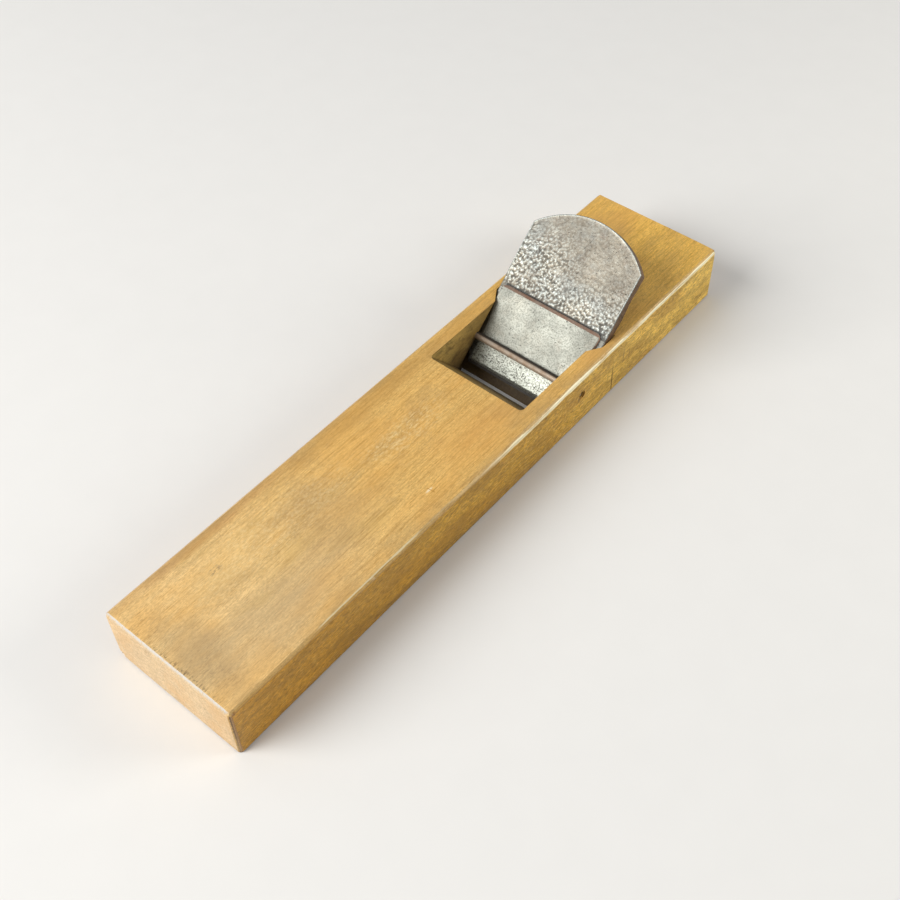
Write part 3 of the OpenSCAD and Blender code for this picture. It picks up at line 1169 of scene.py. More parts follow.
@dataclass(frozen=True)
class MetalFinish:
    """Bare old metal: clouded, speckled and pitted, with a little rust."""

    name: str
    light: Colour
    dark: Colour
    tint: Colour
    pit: Colour
    rust: Colour
    bright: Colour = srgb(192, 193, 184)
    speck_size: float = 0.8
    speck_share: float = 0.5
    pit_share: float = 0.5
    rust_share: float = 0.2
    cloud_share: float = 0.6
    mottle_share: float = 0.25
    # How strongly dirt and painted shade darken the metal
    dirt_share: float = 0.92
    brightened_least: float = 0.3
    brightened_most: float = 0.85
    pepper: float = 0.0
    shine: float = 0.36
    dull: float = 0.52
    grain: float = 0.08
    metal: float = 0.8

    def material(self) -> bpy.types.Material:
        """Wires the finish.

        Returns:
            Its material.
        """
        graph = Graph(self.name)
        clouds = graph.noise((0.07, 0.06, 0.07), (5.0, 2.0, 8.0), 4.0, 0.6)
        hues = graph.noise((0.05, 0.045, 0.05), (1.0, 7.0, 3.0), 3.0, 0.6)
        speckle = graph.noise((1.0 / self.speck_size,) * 3, (2.0, 6.0, 1.0), 4.0, 0.75)
        fine = graph.noise((3.4, 3.4, 3.4), (8.0, 3.0, 2.0), 2.0, 0.6)
        mottle = graph.noise((0.33, 0.36, 0.33), (7.0, 2.0, 5.0), 3.0, 0.6)
        pits = graph.span(graph.noise((1.1, 1.1, 1.1), (4.0, 1.0, 6.0), 2.0, 0.6), 0.62, 0.72)
        rust = graph.span(graph.noise((0.16, 0.16, 0.16), (1.0, 9.0, 4.0), 5.0, 0.7),
                          0.52, 0.70)
        # The bright mark is wear on the tops of the hammer lumps, and painted light: a painted
        # highlight along the blade's rim, and the chipbreaker brightened below the pin. It lays
        # the bright colour and the dark specks.
        high = graph.mark("bright_wear_and_painted_light")
        wear_and_painted_light = graph.times(high, graph.span(speckle, 0.42, 0.57, self.brightened_least,
                                            self.brightened_most))
        pepper = graph.times(high, graph.span(speckle, 0.48, 0.38, 0.0, self.pepper))
        # Darkening from the dark mark: dirt between the hammer lumps, and painted shade beside
        # the chipbreaker and the pin.
        darkening = self.dirt_and_shade(graph)
        colour = graph.layered(
            self.light,
            (graph.span(clouds, 0.35, 0.68, 0.0, self.cloud_share), self.dark),
            (graph.span(hues, 0.42, 0.66, 0.0, self.cloud_share), self.tint),
            (graph.span(speckle, 0.54, 0.42, 0.0, self.speck_share), self.dark),
            (graph.times(rust, self.rust_share), self.rust),
            (graph.times(pits, self.pit_share), self.pit),
            (graph.span(mottle, 0.36, 0.66, 0.0, self.mottle_share), self.bright),
            (wear_and_painted_light, self.bright), (pepper, self.pit), (darkening, self.pit))
        height = graph.minus(graph.plus(graph.times(speckle, 0.6), graph.times(fine, 0.4)),
                             graph.times(pits, 0.5))
        gloss = graph.plus(graph.span(clouds, 0.3, 0.7, self.shine, self.dull),
                           graph.times(pits, 0.2), graph.times(darkening, 0.3))
        gloss = graph.minus(gloss, graph.times(wear_and_painted_light, 0.14))
        metal = graph.times(graph.span(rust, 0.2, 1.0, self.metal, self.metal * 0.8),
                            graph.span(darkening, 0.0, 0.9, 1.0, 0.1))
        return graph.finish(Base_Color=colour, Metallic=metal, Roughness=gloss,
                            Normal=graph.relief(height, self.grain, 0.8))

    def dirt_and_shade(self, graph: Graph) -> bpy.types.NodeSocket:
        """Says where the metal is darkened: dirt in its low places, and painted shade."""
        return graph.times(graph.mark("dirt_and_painted_shade"), self.dirt_share)


@dataclass(frozen=True)
class RodFinish(MetalFinish):
    """The pin: darkened with painted shade on the side towards the head, where it meets the
    plate.
    """

    shaded_side: tuple[float, float] = (0.8457, 0.5336)
    axis: tuple[float, float] = (60.785, 20.4)

    def dirt_and_shade(self, graph: Graph) -> bpy.types.NodeSocket:
        """Says where painted shade darkens the pin, on the side towards the head.

        Args:
            graph: The material that is wired.

        Returns:
            How dark the painted shade is.
        """
        towards = (graph.times(graph.minus(graph.along(axis), middle), share)
                   for axis, middle, share in zip("YZ", self.axis, self.shaded_side))
        return graph.span(graph.plus(*towards), 0.2, 1.0, 0.0, 0.93)


FORGED_SKIN = MetalFinish("forged_skin", srgb(123, 116, 103), srgb(99, 92, 82),
                          srgb(107, 109, 107), srgb(40, 39, 36), srgb(112, 88, 72),
                          srgb(184, 194, 192), speck_size=0.9, speck_share=0.40,
                          cloud_share=0.65, mottle_share=0.06, brightened_most=0.72, shine=0.40,
                          dull=0.48, metal=0.6)
GROUND_STEEL = MetalFinish("ground_steel", srgb(176, 176, 168), srgb(136, 136, 128),
                           srgb(166, 162, 150), srgb(38, 29, 20), srgb(110, 88, 68),
                           rust_share=0.1, shine=0.30, dull=0.44, grain=0.03)
SPECKLED_IRON = MetalFinish("speckled_iron", srgb(162, 163, 153), srgb(100, 100, 92),
                            srgb(156, 150, 134), srgb(38, 37, 32), srgb(130, 110, 86),
                            srgb(190, 196, 186), speck_size=0.85, speck_share=0.64,
                            pit_share=0.8, rust_share=0.15, cloud_share=0.35,
                            mottle_share=0.10, brightened_least=0.0, brightened_most=0.8, pepper=0.85,
                            shine=0.42, grain=0.10, metal=0.4)
RUSTED_EDGE = MetalFinish("rusted_edge", srgb(172, 138, 118), srgb(122, 92, 74),
                          srgb(158, 120, 98), srgb(56, 40, 30), srgb(132, 92, 70),
                          rust_share=0.4, shine=0.55, dull=0.7, metal=0.2)
DARK_EDGE = MetalFinish("dark_edge", srgb(116, 88, 60), srgb(74, 54, 36), srgb(100, 74, 50),
                        srgb(36, 26, 18), srgb(112, 76, 46), rust_share=0.4,
                        mottle_share=0.0, brightened_least=0.0, brightened_most=0.08, shine=0.5,
                        dull=0.7, metal=0.3)
PIN_PATINA = RodFinish("pin_patina", srgb(172, 150, 128), srgb(140, 118, 98),
                       srgb(160, 136, 112), srgb(36, 28, 20), srgb(136, 106, 80),
                       rust_share=0.3, shine=0.5, dull=0.66, metal=0.2)


# The pieces


def give_finishes(piece: bpy.types.Object, *finishes: OakFinish | MetalFinish) -> None:
    """Gives a piece its finishes, in the order in which its faces name them.

    Args:
        piece: The piece.
        finishes: The finishes, each of which makes a material of its own.
    """
    piece.data.materials.clear()
    for finish in finishes:
        piece.data.materials.append(finish.material())


@dataclass
class Piece:
    """One piece of the plane: what it replaces, rides on and is finished with."""

    name: str
    node: str
    body: str
    slot: str

    def settle(self, piece: bpy.types.Object) -> bpy.types.Object:
        """Ties a finished mesh to the frame.

        Args:
            piece: The mesh, in its place in metres.

        Returns:
            The same mesh.
        """
        piece.name = self.name
        piece.data.name = self.name
        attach(piece, self.body)
        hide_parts(self.node)
        LOG.info("%s: %d corners, on %s", self.name, len(piece.data.vertices), self.body)
        return piece


@dataclass(frozen=True)
class Dent:
    """A knock in the oak: where it is, how far it reaches and how deep it goes."""

    place: Point
    reach: float
    depth: float
    side_starts: float = 30.0
    end_starts: float = 180.0
    top_starts: float = 20.0

    def inward(self) -> Vector:
        """Works out the way into the oak from the faces that the dent is near.

        Returns:
            The direction, of length 1.
        """
        x, y, z = self.place
        from_side = -math.copysign(1, x) if abs(x) > self.side_starts else 0.0
        from_end = -math.copysign(1, y) if abs(y) > self.end_starts else 0.0
        return Vector((from_side, from_end, -1.0 if z > self.top_starts else 0.3)).normalized()


@dataclass
class OakBody(Piece):
    """The oak block, with its throat, its grooves and the holes for the pin."""

    name: str = "body_of_oak"
    node: str = "oak_body"
    body: str = "body"
    slot: str = "oak"
    edge_softness: float = 0.35
    throat_softness: float = 0.25
    edge_margin: float = 2.0
    face_margin: float = 1.9
    sole_margin: float = 1.0
    squarely: float = 0.96
    crease: float = 28.0
    unevenness: float = 0.10
    chatter: float = 0.07
    wave_start: float = 2.2
    wave_full: float = 1.0
    ring_step: float = 6.0
    scored_columns: tuple[float, ...] = (-32.0, -20.0, -8.0, 8.0, 20.0, 32.0)
    scored_levels: tuple[float, ...] = (8.0, 16.0, 24.0)
    crack_foot: tuple[float, float] = (89.0, 0.0)
    crack_head: tuple[float, float] = (88.0, 20.5)
    crack_depth: float = 0.9
    crack_width: float = 0.55
    crack_taper: float = 0.6
    crack_waver: float = 0.5
    crack_waves: float = 9.0
    scratch_start: tuple[float, float] = (25.0, -43.5)
    scratch_length: float = 4.4
    scratch_width: float = 0.4
    scratch_depth: float = 0.16
    scratch_slant: float = 0.11
    dent_roughness: float = 0.22
    dents: list[Dent] = field(default_factory=lambda: [
        Dent((39.6, -182.5, 33.2), 2.2, 0.9),
        Dent((-37.0, -185.8, 2.0), 2.6, 1.0),
        Dent((39.9, -96.0, 32.8), 2.4, 0.5),
        Dent((39.4, -22.0, 33.5), 1.8, 0.4),
        Dent((-39.6, 18.0, 33.4), 2.2, 0.5),
        Dent((-39.5, -120.0, 33.2), 2.0, 0.4),
        Dent((39.8, 150.0, 33.0), 2.2, 0.5),
        Dent((20.0, 185.7, 33.2), 2.4, 0.6),
        Dent((-22.0, -185.6, 33.4), 1.6, 0.35),
    ])

    def build(self) -> bpy.types.Object:
        """Models the oak body.

        Returns:
            The body, in its place.
        """
        block = self.block()
        carve(block, self.throat())
        carve(block, self.groove())
        self.bore(block)
        clean_up(block)
        soften(block, self.edge_softness, self.is_outer_edge)
        soften(block, self.throat_softness, self.is_throat_rim, segments=2)
        self.dress(block)
        self.knock(block)
        carve(block, self.crack(), finish=Cutface.THROAT.value)
        carve(block, self.scratch(), finish=Cutface.EDGE.value)
        self.plane_by_hand(block)
        lay_down(block, Matrix.Identity(4))
        smooth(block, self.crease)
        return self.settle(block)

    @staticmethod
    def block() -> bpy.types.Object:
        """Squares the block and planes its chamfers.

        Returns:
            The block.
        """
        half_w = PLANE.body_width / 2
        half_l = PLANE.body_length / 2
        top = PLANE.body_height
        block = add_block("block", (-half_w, -half_l, 0), (half_w, half_l, top))
        for side in (-1, 1):
            slice_off(block, (side * half_w, 0, top - PLANE.top_chamfer), (side, 0, 1))
            slice_off(block, (side * half_w, 0, PLANE.sole_chamfer), (side, 0, -1))
            slice_off(block, (0, side * half_l, top - PLANE.end_chamfer), (0, side, 1))
            slice_off(block, (0, side * half_l, PLANE.sole_chamfer), (0, side, -1))
            for end in (-1, 1):
                slice_off(block, (side * half_w, end * (half_l - PLANE.corner_chamfer), 0),
                          (side, end, 0))
        return block

    @staticmethod
    def throat() -> bpy.types.Object:
        """Makes the mesh that cuts the throat, from the mouth up.

        Returns:
            The mesh.
        """
        below = OVERRUN / slope(PLANE.bed_angle)
        above = OVERRUN / slope(PLANE.front_wall_angle)
        top = PLANE.body_height + OVERRUN
        tool = add_prism("throat", [
            (PLANE.bed_foot - below, -OVERRUN),
            (PLANE.mouth_front, -OVERRUN),
            (PLANE.mouth_front, PLANE.front_wall_break),
            (PLANE.throat_front - above, top),
            (PLANE.bed_top + below, top),
        ], PLANE.throat_half)
        plan_half = PLANE.throat_half + OVERRUN / 100
        plan = add_block("throat_plan", (-plan_half, PLANE.throat_front, -2 * OVERRUN),
                         (plan_half, REACH, top + OVERRUN))
        soften(plan, PLANE.throat_corner_radius,
               lambda a, b: max(a.y, b.y) < PLANE.throat_front + 1 and abs(a.z - b.z) > 1,
               segments=8)
        carve(tool, plan, Cut.KEEP)
        return tool

    @staticmethod
    def groove() -> bpy.types.Object:
        """Makes the mesh that cuts the two grooves for the sides of the blade.

        Returns:
            The mesh.
        """
        outer = PLANE.groove_half
        front = PLANE.breaker_thickness + PLANE.breaker_shoulder * slope(PLANE.breaker_taper)
        ear = (PLANE.breaker_gap + front - PLANE.breaker_ear_bend / 2
               + PLANE.travel_out + PLANE.ear_gap)
        lip = PLANE.travel_out + PLANE.blade_front_gap - PLANE.facet_depth
        rise = (ear - lip) / (outer - PLANE.breaker_half)
        floor = -PLANE.travel_along - PLANE.blade_side_gap
        lean = PLANE.corner_trim_width / PLANE.corner_trim_length
        tool = add_block("groove", (-outer, floor, -REACH), (outer, REACH, REACH))
        for side in (-1, 1):
            slice_off(tool, (side * outer, 0, lip), (side * rise, 0, 1))
            slice_off(tool, (side * (outer - PLANE.corner_trim_width), floor, 0),
                      (side, -lean, 0))
        tool.data.transform(PLANE.blade_place())
        slice_off(tool, (0, PLANE.bed_foot, 0), tuple(-PLANE.bed_place().col[2].xyz))
        slice_off(tool, (0, PLANE.mouth_front, 0), (0, -1, 0))
        return tool

    @staticmethod
    def bore(block: bpy.types.Object) -> None:
        """Bores the hole for the pin and crushes its two mouths.

        Args:
            block: The body.
        """
        low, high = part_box("pressure_pin")
        middle = (low + high) / 2 / METRES
        carve(block, add_rod("bore", tuple(middle), PLANE.pin_diameter / 2,
                             PLANE.body_width + 2 * OVERRUN))
        for side in (-1, 1):
            mouth = (side * PLANE.body_width / 2, middle.y, middle.z)
            carve(block, add_rod("bore_mouth", mouth, PLANE.pin_mouth_diameter / 2,
                                 2 * PLANE.pin_mouth_depth))

    def is_outer_edge(self, first: Vector, second: Vector) -> bool:
        """Says whether an edge is one of the long ones on the outside of the block.

        Args:
            first: One end of the edge.
            second: Its other end.

        Returns:
            True for such an edge, and for a short one at the two ends.
        """
        def at_end(point: Vector) -> bool:
            """Says whether a point is close to the tail or the head of the block."""
            return abs(point.y) > PLANE.body_length / 2 - self.edge_margin

        def outside(point: Vector) -> bool:
            """Says whether a point is close to an edge of the block."""
            near_side = abs(point.x) > PLANE.body_width / 2 - self.edge_margin
            upper = PLANE.body_height - self.edge_margin
            return at_end(point) or near_side and not self.edge_margin <= point.z <= upper

        shortest = 1.0 if at_end(first) else 5.0
        return outside(first) and outside(second) and (first - second).length > shortest

    @staticmethod
    def is_throat_rim(first: Vector, second: Vector) -> bool:
        """Says whether an edge is on the rim of the throat, in the top.

        Args:
            first: One end of the edge.
            second: Its other end.

        Returns:
            True for such an edge.
        """
        def on_rim(point: Vector) -> bool:
            """Says whether a point lies in the top, beside the throat."""
            return (point.z > PLANE.body_height - NEAR
                    and abs(point.x) < PLANE.groove_half + 0.1
                    and PLANE.throat_front - 0.1 < point.y < PLANE.bed_top + 0.1)
        return on_rim(first) and on_rim(second) and (first - second).length > 0.4

    def crack(self) -> bpy.types.Object:
        """Makes the mesh that opens the fine crack in the right side.

        Returns:
            The mesh, which narrows and wavers from its foot up.
        """
        half_w = PLANE.body_width / 2
        crack = add_block("crack", (half_w - self.crack_depth, -0.5, -0.5),
                          (half_w + 0.5, 0.5, 1.0))
        score(crack, 2, np.linspace(-0.35, 0.85, 9).tolist())
        points = points_of(crack)
        climb = np.clip(points[:, 2], 0, 1)
        foot, head = np.array(self.crack_foot), np.array(self.crack_head)
        width = self.crack_width * (1 - self.crack_taper * climb)
        width *= np.where(points[:, 0] > half_w, 1.0, 0.1)
        waver = self.crack_waver * np.sin(climb * self.crack_waves) * climb * (1 - climb)
        points[:, 1] = foot[0] + (head[0] - foot[0]) * climb + points[:, 1] * width + waver
        points[:, 2] = np.where(points[:, 2] < 0, points[:, 2] * 2, climb * head[1])
        put_points(crack, points)
        return crack

    def scratch(self) -> bpy.types.Object:
        """Makes the mesh that scores the short scratch in the top.

        Returns:
            The mesh, which runs a little aslant.
        """
        top = PLANE.body_height
        start, along = self.scratch_start
        half = self.scratch_width / 2
        scratch = add_block("scratch", (start, -half, top - self.scratch_depth),
                            (start + self.scratch_length, half, top + 0.3))
        points = points_of(scratch)
        points[:, 1] += along + (points[:, 0] - start) * self.scratch_slant
        put_points(scratch, points)
        return scratch

    def knock(self, block: bpy.types.Object) -> None:
        """Leaves the small dents of long use.

        Args:
            block: The body, which has its finishes.
        """
        for dent in self.dents:
            deselect_all()
            bpy.ops.mesh.primitive_ico_sphere_add(subdivisions=2, radius=1)
            tool = name_primitive("dent")
            points = points_of(tool)
            rough = self.dent_roughness * ripple(points, (0.7, 0.7, 0.7), dent.place[1])
            points *= dent.reach * (1 + rough[:, None])
            centre = Vector(dent.place) - dent.inward() * (dent.reach - dent.depth)
            put_points(tool, points + np.array(centre))
            carve(block, tool, finish=Cutface.EDGE.value)

    def plane_by_hand(self, block: bpy.types.Object) -> None:
        """Gives the flat faces the slight waves that planing and wear leave.

        Args:
            block: The body.
        """
        half_w = PLANE.body_width / 2
        half_l = PLANE.body_length / 2
        score(block, 1, np.arange(-half_l + 3, half_l - 2, self.ring_step).tolist())
        score(block, 0, self.scored_columns)
        score(block, 2, self.scored_levels)
        points = points_of(block)
        side, end, top = (
            between(place, limit - self.wave_start, limit - self.wave_full)
            for place, limit in (
                (np.abs(points[:, 0]), half_w), (np.abs(points[:, 1]), half_l),
                (points[:, 2], PLANE.body_height)))
        wave = self.unevenness * (0.5 + 0.5 * ripple(points, (30, 45, 30), 3.7))
        chatter = self.chatter * np.abs(ripple(points, (9, 11, 9), 11.3))
        edge = top * side + top * end + side * end
        sink = wave + chatter * (0.35 + 2.2 * edge)
        points[:, 2] -= sink * top
        points[:, 0] -= np.sign(points[:, 0]) * sink * side
        points[:, 1] -= np.sign(points[:, 1]) * sink * end
        put_points(block, points)

    def face_cut(self, centre: Vector, normal: Vector) -> Cutface:
        """Says which way a face is cut, from its middle and its direction.

        Args:
            centre: The middle of the face, in millimetres.
            normal: The direction that it faces.

        Returns:
            The kind of face.
        """
        near_side = abs(centre.x) > PLANE.body_width / 2 - self.face_margin
        near_end = abs(centre.y) > PLANE.body_length / 2 - self.face_margin
        near_top = centre.z > PLANE.body_height - self.face_margin
        if not (near_side or near_end or near_top or centre.z < self.sole_margin):
            return Cutface.THROAT
        if max(abs(part) for part in normal) < self.squarely:
            return Cutface.EDGE if near_side or near_end else Cutface.THROAT
        if abs(normal.y) >= self.squarely:
            return Cutface.END if near_end else Cutface.THROAT
        if abs(normal.x) >= self.squarely:
            return Cutface.SIDE if near_side else Cutface.THROAT
        return Cutface.TOP

    def dress(self, block: bpy.types.Object) -> None:
        """Gives each face the finish for the way it is cut."""
        give_finishes(block, *(OAK_FINISHES[cut] for cut in Cutface))
        for polygon in block.data.polygons:
            polygon.material_index = self.face_cut(polygon.center, polygon.normal).value


def crowded(length: float, step: float, rim: Sequence[float]) -> np.ndarray:
    """Places stations along a length, crowded near both ends.

    Args:
        length: The length.
        step: The distance between stations in the middle.
        rim: The distances of the first stations from each end.

    Returns:
        The stations, from 0 to the length.
    """
    inner = length - 2 * rim[-1]
    middle = rim[-1] + np.linspace(0, inner, max(2, int(inner / step)))
    return np.unique(np.concatenate([np.array(rim), middle, length - np.array(rim)]))


def round_over(distance: np.ndarray, radius: np.ndarray | float) -> np.ndarray:
    """Gives how far a rim is rounded down at a distance from the outline."""
    inside = np.clip(radius - distance, 0, radius)
    return radius - np.sqrt(radius ** 2 - inside ** 2)


def flattened(points: np.ndarray) -> np.ndarray:
    """Gives corners without their height, so that noise is the same at any depth."""
    return points * np.array((1.0, 1.0, 0.0))


class Plate:
    """A plate forged from two metals: modelled whole, then parted at the weld."""

    metals: tuple[tuple[Piece, MetalFinish], ...]
    edge_finish: MetalFinish

    def forge(self) -> bpy.types.Object:
        """Models the whole plate in its own frame."""
        raise NotImplementedError

    def steel_zone(self) -> tuple[Point, Point]:
        """Gives the two corners of the block within which the plate is steel."""
        raise NotImplementedError

    def place(self) -> Matrix:
        """Gives the plate's frame."""
        raise NotImplementedError

    def is_edge(self, face: bpy.types.MeshPolygon) -> bool:
        """Says whether a face has the finish of the edges."""
        raise NotImplementedError

    def build(self) -> list[bpy.types.Object]:
        """Models the plate, parts its two metals and dresses them.

        Returns:
            The iron piece and the steel piece.
        """
        iron = self.forge()
        steel = iron.copy()
        steel.data = iron.data.copy()
        bpy.context.scene.collection.objects.link(steel)
        carve(iron, add_block("steel_zone", *self.steel_zone()))
        carve(steel, add_block("steel_zone", *self.steel_zone()), Cut.KEEP)
        for mesh, (part, finish) in zip((iron, steel), self.metals):
            give_finishes(mesh, finish, self.edge_finish)
            for face in mesh.data.polygons:
                face.material_index = int(self.is_edge(face))
            lay_down(mesh, self.place())
            smooth(mesh, CREASE)
            part.settle(mesh)
        return [iron, steel]


@dataclass
class Blade(Plate):
    """The wedge-shaped blade: soft iron behind, hard steel along its edge."""

    metals: tuple[tuple[Piece, MetalFinish], ...] = (
        (Piece("blade_of_iron", "blade_iron", "blade", "forged_iron"), FORGED_SKIN),
        (Piece("edge_of_steel", "blade_steel", "blade", "blade_steel"), GROUND_STEEL),
    )
    edge_finish: MetalFinish = DARK_EDGE
    cell: float = 0.37
    coarse_cell: float = 1.2
    rim: tuple[float, ...] = (0.0, 0.08, 0.2, 0.36)
    rim_radius: float = 0.45
    rim_lip: float = 0.13
    back_rounding: float = 1.3
    head_rounding: float = 4.2
    rim_start: float = 46.0
    side_start: float = 5.0
    head_start: float = 55.0
    turned: tuple[float, float] = (-0.97, 0.6)
    edge_margin: float = 0.2
    spread_from: float = 60.0
    hammer_depth: float = 0.20
    lump_size: tuple[float, float] = (1.35, 1.6)
    lump_reach: tuple[float, float] = (0.45, 1.05)
    lump_bend: Point = (1.3, 1.5, 1.0)
    lump_lattice: int = 97
    lump_seed: int = 11

    def steel_zone(self) -> tuple[Point, Point]:
        """Gives the two corners of the block within which the blade is steel."""
        wide = PLANE.blade_width
        return (-wide, -REACH, -PLANE.steel_thickness), (wide, PLANE.steel_length, REACH)

    def place(self) -> Matrix:
        """Gives the blade's frame."""
        return PLANE.blade_place()

    def is_edge(self, face: bpy.types.MeshPolygon) -> bool:
        """Says whether a face is turned sideways, on the rounded rim of the back.

        Args:
            face: A face of the blade, in its own frame.

        Returns:
            True for such a face.
        """
        least, most = self.turned
        turned = least < face.normal.z < most and face.center.y > self.side_start
        rim = self.rim_distance(np.array([face.center]))[0]
        reach = self.head_rounding if face.center.y > self.head_start else self.back_rounding
        return turned and rim < reach + self.edge_margin

    def forge(self) -> bpy.types.Object:
        """Forges the whole blade in its own frame, with its hammer marks.

        Returns:
            The blade, with marks of where it is darkened by dirt and painted shade, and
            brightened by wear and a painted highlight.
        """
        half = PLANE.blade_width / 2
        columns = crowded(2 * half, self.cell, self.rim) / half - 1
        fine = crowded(PLANE.blade_length, self.cell, self.rim)
        heel = self.back_at(0) / (slope(PLANE.blade_bevel_angle) - slope(PLANE.blade_taper))
        coarse = np.arange(self.coarse_cell, PLANE.steel_length - 1, self.coarse_cell)
        rows = np.unique(np.concatenate([
            np.array(self.rim), coarse, [heel, PLANE.corner_trim_length],
            fine[fine > PLANE.steel_length - 1]]))
        slab = add_sheet("blade", columns, rows / PLANE.blade_length)
        points = points_of(slab)
        front = points[:, 2] > 0.5
        points = self.outline(points)
        points[:, 2] = np.where(front, self.front(points), self.back(points))
        put_points(slab, points)
        dome = between(self.lumps(points), 0.45, 0.9) * self.beaten(points) * 0.9
        # The dark mark is dirt between the lumps, and painted shade: a painted shadow along the
        # chipbreaker's top and the steel past its edge darkened.
        low = np.maximum(self.valleys(points), self.breaker_shade(points))
        keep_mark(slab, "dirt_and_painted_shade", low * front)
        # The rim towards the head is painted bright: a painted highlight along the rounded rim.
        rim = 1 - between(self.rim_distance(points), 0.3, 1.0)
        rim *= between(points[:, 1], self.rim_start, self.rim_start + 6.0)
        keep_mark(slab, "bright_wear_and_painted_light", np.maximum(dome, rim) * front)
        return slab

    def outline(self, points: np.ndarray) -> np.ndarray:
        """Moves the grid's corners to the plan of the blade.

        Args:
            points: Corners with x from -1 to 1 and y from 0 to 1.

        Returns:
            The corners with x and y in millimetres.
        """
        half = PLANE.blade_width / 2
        placed = points.copy()
        row = points[:, 1] * PLANE.blade_length
        trim = 1 - np.clip(row / PLANE.corner_trim_length, 0, 1)
        placed[:, 0] = points[:, 0] * (half - PLANE.corner_trim_width * trim)
        across = np.minimum(np.abs(placed[:, 0]), half)
        top = PLANE.head_centre + np.sqrt(PLANE.head_radius ** 2 - across ** 2)
        start = self.spread_from
        share = np.clip((row - start) / (PLANE.blade_length - start), 0, 1)
        placed[:, 1] = np.where(row > start, start + share * (top - start), row)
        return placed

    @staticmethod
    def back_at(place: np.ndarray | float) -> np.ndarray | float:
        """Gives the blade's thickness at a distance from its edge."""
        edge = PLANE.blade_edge_thickness - PLANE.bed_gap
        return edge / math.cos(math.radians(PLANE.blade_taper)) + place * slope(PLANE.blade_taper)

    @staticmethod
    def rim_distance(points: np.ndarray) -> np.ndarray:
        """Works out each corner's distance from the outline.

        Args:
            points: Corners of the mesh, in the blade's frame.

        Returns:
            The distances.
        """
        side = PLANE.blade_width / 2 - np.abs(points[:, 0])
        lift = points[:, 1] - PLANE.head_centre
        head = PLANE.head_radius - np.hypot(points[:, 0], np.maximum(lift, 0))
        return np.maximum(np.where(lift > 5, np.minimum(side, head), side), 0)

    @staticmethod
    def facets(points: np.ndarray) -> np.ndarray:
        """Works out the depth of the ground facets along the two sides.

        Args:
            points: Corners of the mesh, in the blade's frame.

        Returns:
            The depth at each corner.
        """
        inner = PLANE.blade_width / 2 - PLANE.facet_width
        fall = (np.abs(points[:, 0]) - inner) * PLANE.facet_depth / PLANE.facet_width
        past = np.maximum(points[:, 1] - (PLANE.facet_end - PLANE.facet_runout), 0)
        return np.clip(fall - past * PLANE.facet_depth / PLANE.facet_runout, 0, None)

    @staticmethod
    def hollow(points: np.ndarray) -> np.ndarray:
        """Works out the depth of the hollow that is ground in the steel.

        Args:
            points: Corners of the mesh, in the blade's frame.

        Returns:
            The depth at each corner.
        """
        half = PLANE.hollow_length / 2
        radius = (half ** 2 + PLANE.hollow_depth ** 2) / (2 * PLANE.hollow_depth)
        away = points[:, 1] - PLANE.hollow_land - half
        depth = np.sqrt(np.maximum(radius ** 2 - away ** 2, 0)) - radius + PLANE.hollow_depth
        edge = PLANE.blade_width / 2 - PLANE.facet_width - PLANE.hollow_side_land
        return np.maximum(depth, 0) * between(edge - np.abs(points[:, 0]), 0.0, 4.0)

    def lumps(self, points: np.ndarray) -> np.ndarray:
        """Gives the height of small rounded lumps that stand close together.

        Args:
            points: Corners of the mesh, in the blade's frame.

        Returns:
            The height at each corner, from 0 between the lumps to 1.
        """
        chance = np.random.default_rng(self.lump_seed)
        shift = chance.uniform(0.0, 1.0, (self.lump_lattice, self.lump_lattice, 2))
        reach = chance.uniform(*self.lump_reach, (self.lump_lattice, self.lump_lattice))
        bend = np.stack([ripple(flattened(points), self.lump_bend, seed) for seed in (4.4, 9.1)])
        place = points[:, :2] / np.array(self.lump_size) + 0.5 * bend.T
        cell = np.floor(place).astype(int)
        height = np.zeros(len(points))
        for step in product((-1, 0, 1), repeat=2):
            near = cell + np.array(step)
            row, column = (near % self.lump_lattice).T
            away = place - (near + shift[row, column])
            height = np.maximum(height, 1 - (np.hypot(*away.T) / reach[row, column]) ** 1.3)
        return height

    @staticmethod
    def forged(points: np.ndarray) -> np.ndarray:
        """Gives how far each corner is on the forged iron, past the ground steel."""
        return between(points[:, 1], PLANE.steel_length, PLANE.steel_length + 2.5)

    def beaten(self, points: np.ndarray) -> np.ndarray:
        """Says how strongly each place is beaten: most at the left and low down.

        Args:
            points: Corners of the mesh, in the blade's frame.

        Returns:
            The strength at each corner, from 0 to 1.
        """
        left = between(-points[:, 0], -12, 26) * between(-points[:, 1], -92, -66)
        right = between(points[:, 0], 8, 32) * between(-points[:, 1], -84, -54)
        low = between(-points[:, 1], -72, -52)
        patchy = between(ripple(flattened(points), (8, 10, 1.0), 3.3), -0.5, 0.3)
        strength = np.clip(left + 0.5 * right + 0.8 * low, 0, 1) * (0.5 + 0.5 * patchy)
        return (0.17 + 0.83 * strength) * self.forged(points)

    def valleys(self, points: np.ndarray) -> np.ndarray:
        """Says where dirt stays between the lumps."""
        return (1 - between(self.lumps(points), 0.0, 0.3)) * self.beaten(points) * 0.55

    @staticmethod
    def breaker_shade(points: np.ndarray) -> np.ndarray:
        """Says where the blade is darkened as painted shade: a painted shadow along the
        chipbreaker's top, and the steel past the chipbreaker's edge.

        Args:
            points: Corners of the mesh, in the blade's frame.

        Returns:
            How dark the painted shade is at each corner, from 0 to 1.
        """
        beside = np.abs(points[:, 0]) - (PLANE.breaker_half - 1.0)
        above = points[:, 1] - PLANE.breaker_setback - PLANE.breaker_length
        line = between(-np.abs(above - 0.2), -1.1, -0.5) * between(-beside, -0.8, 0.0)
        return np.maximum(line * 0.9, between(-points[:, 1], -1.9, -1.5))

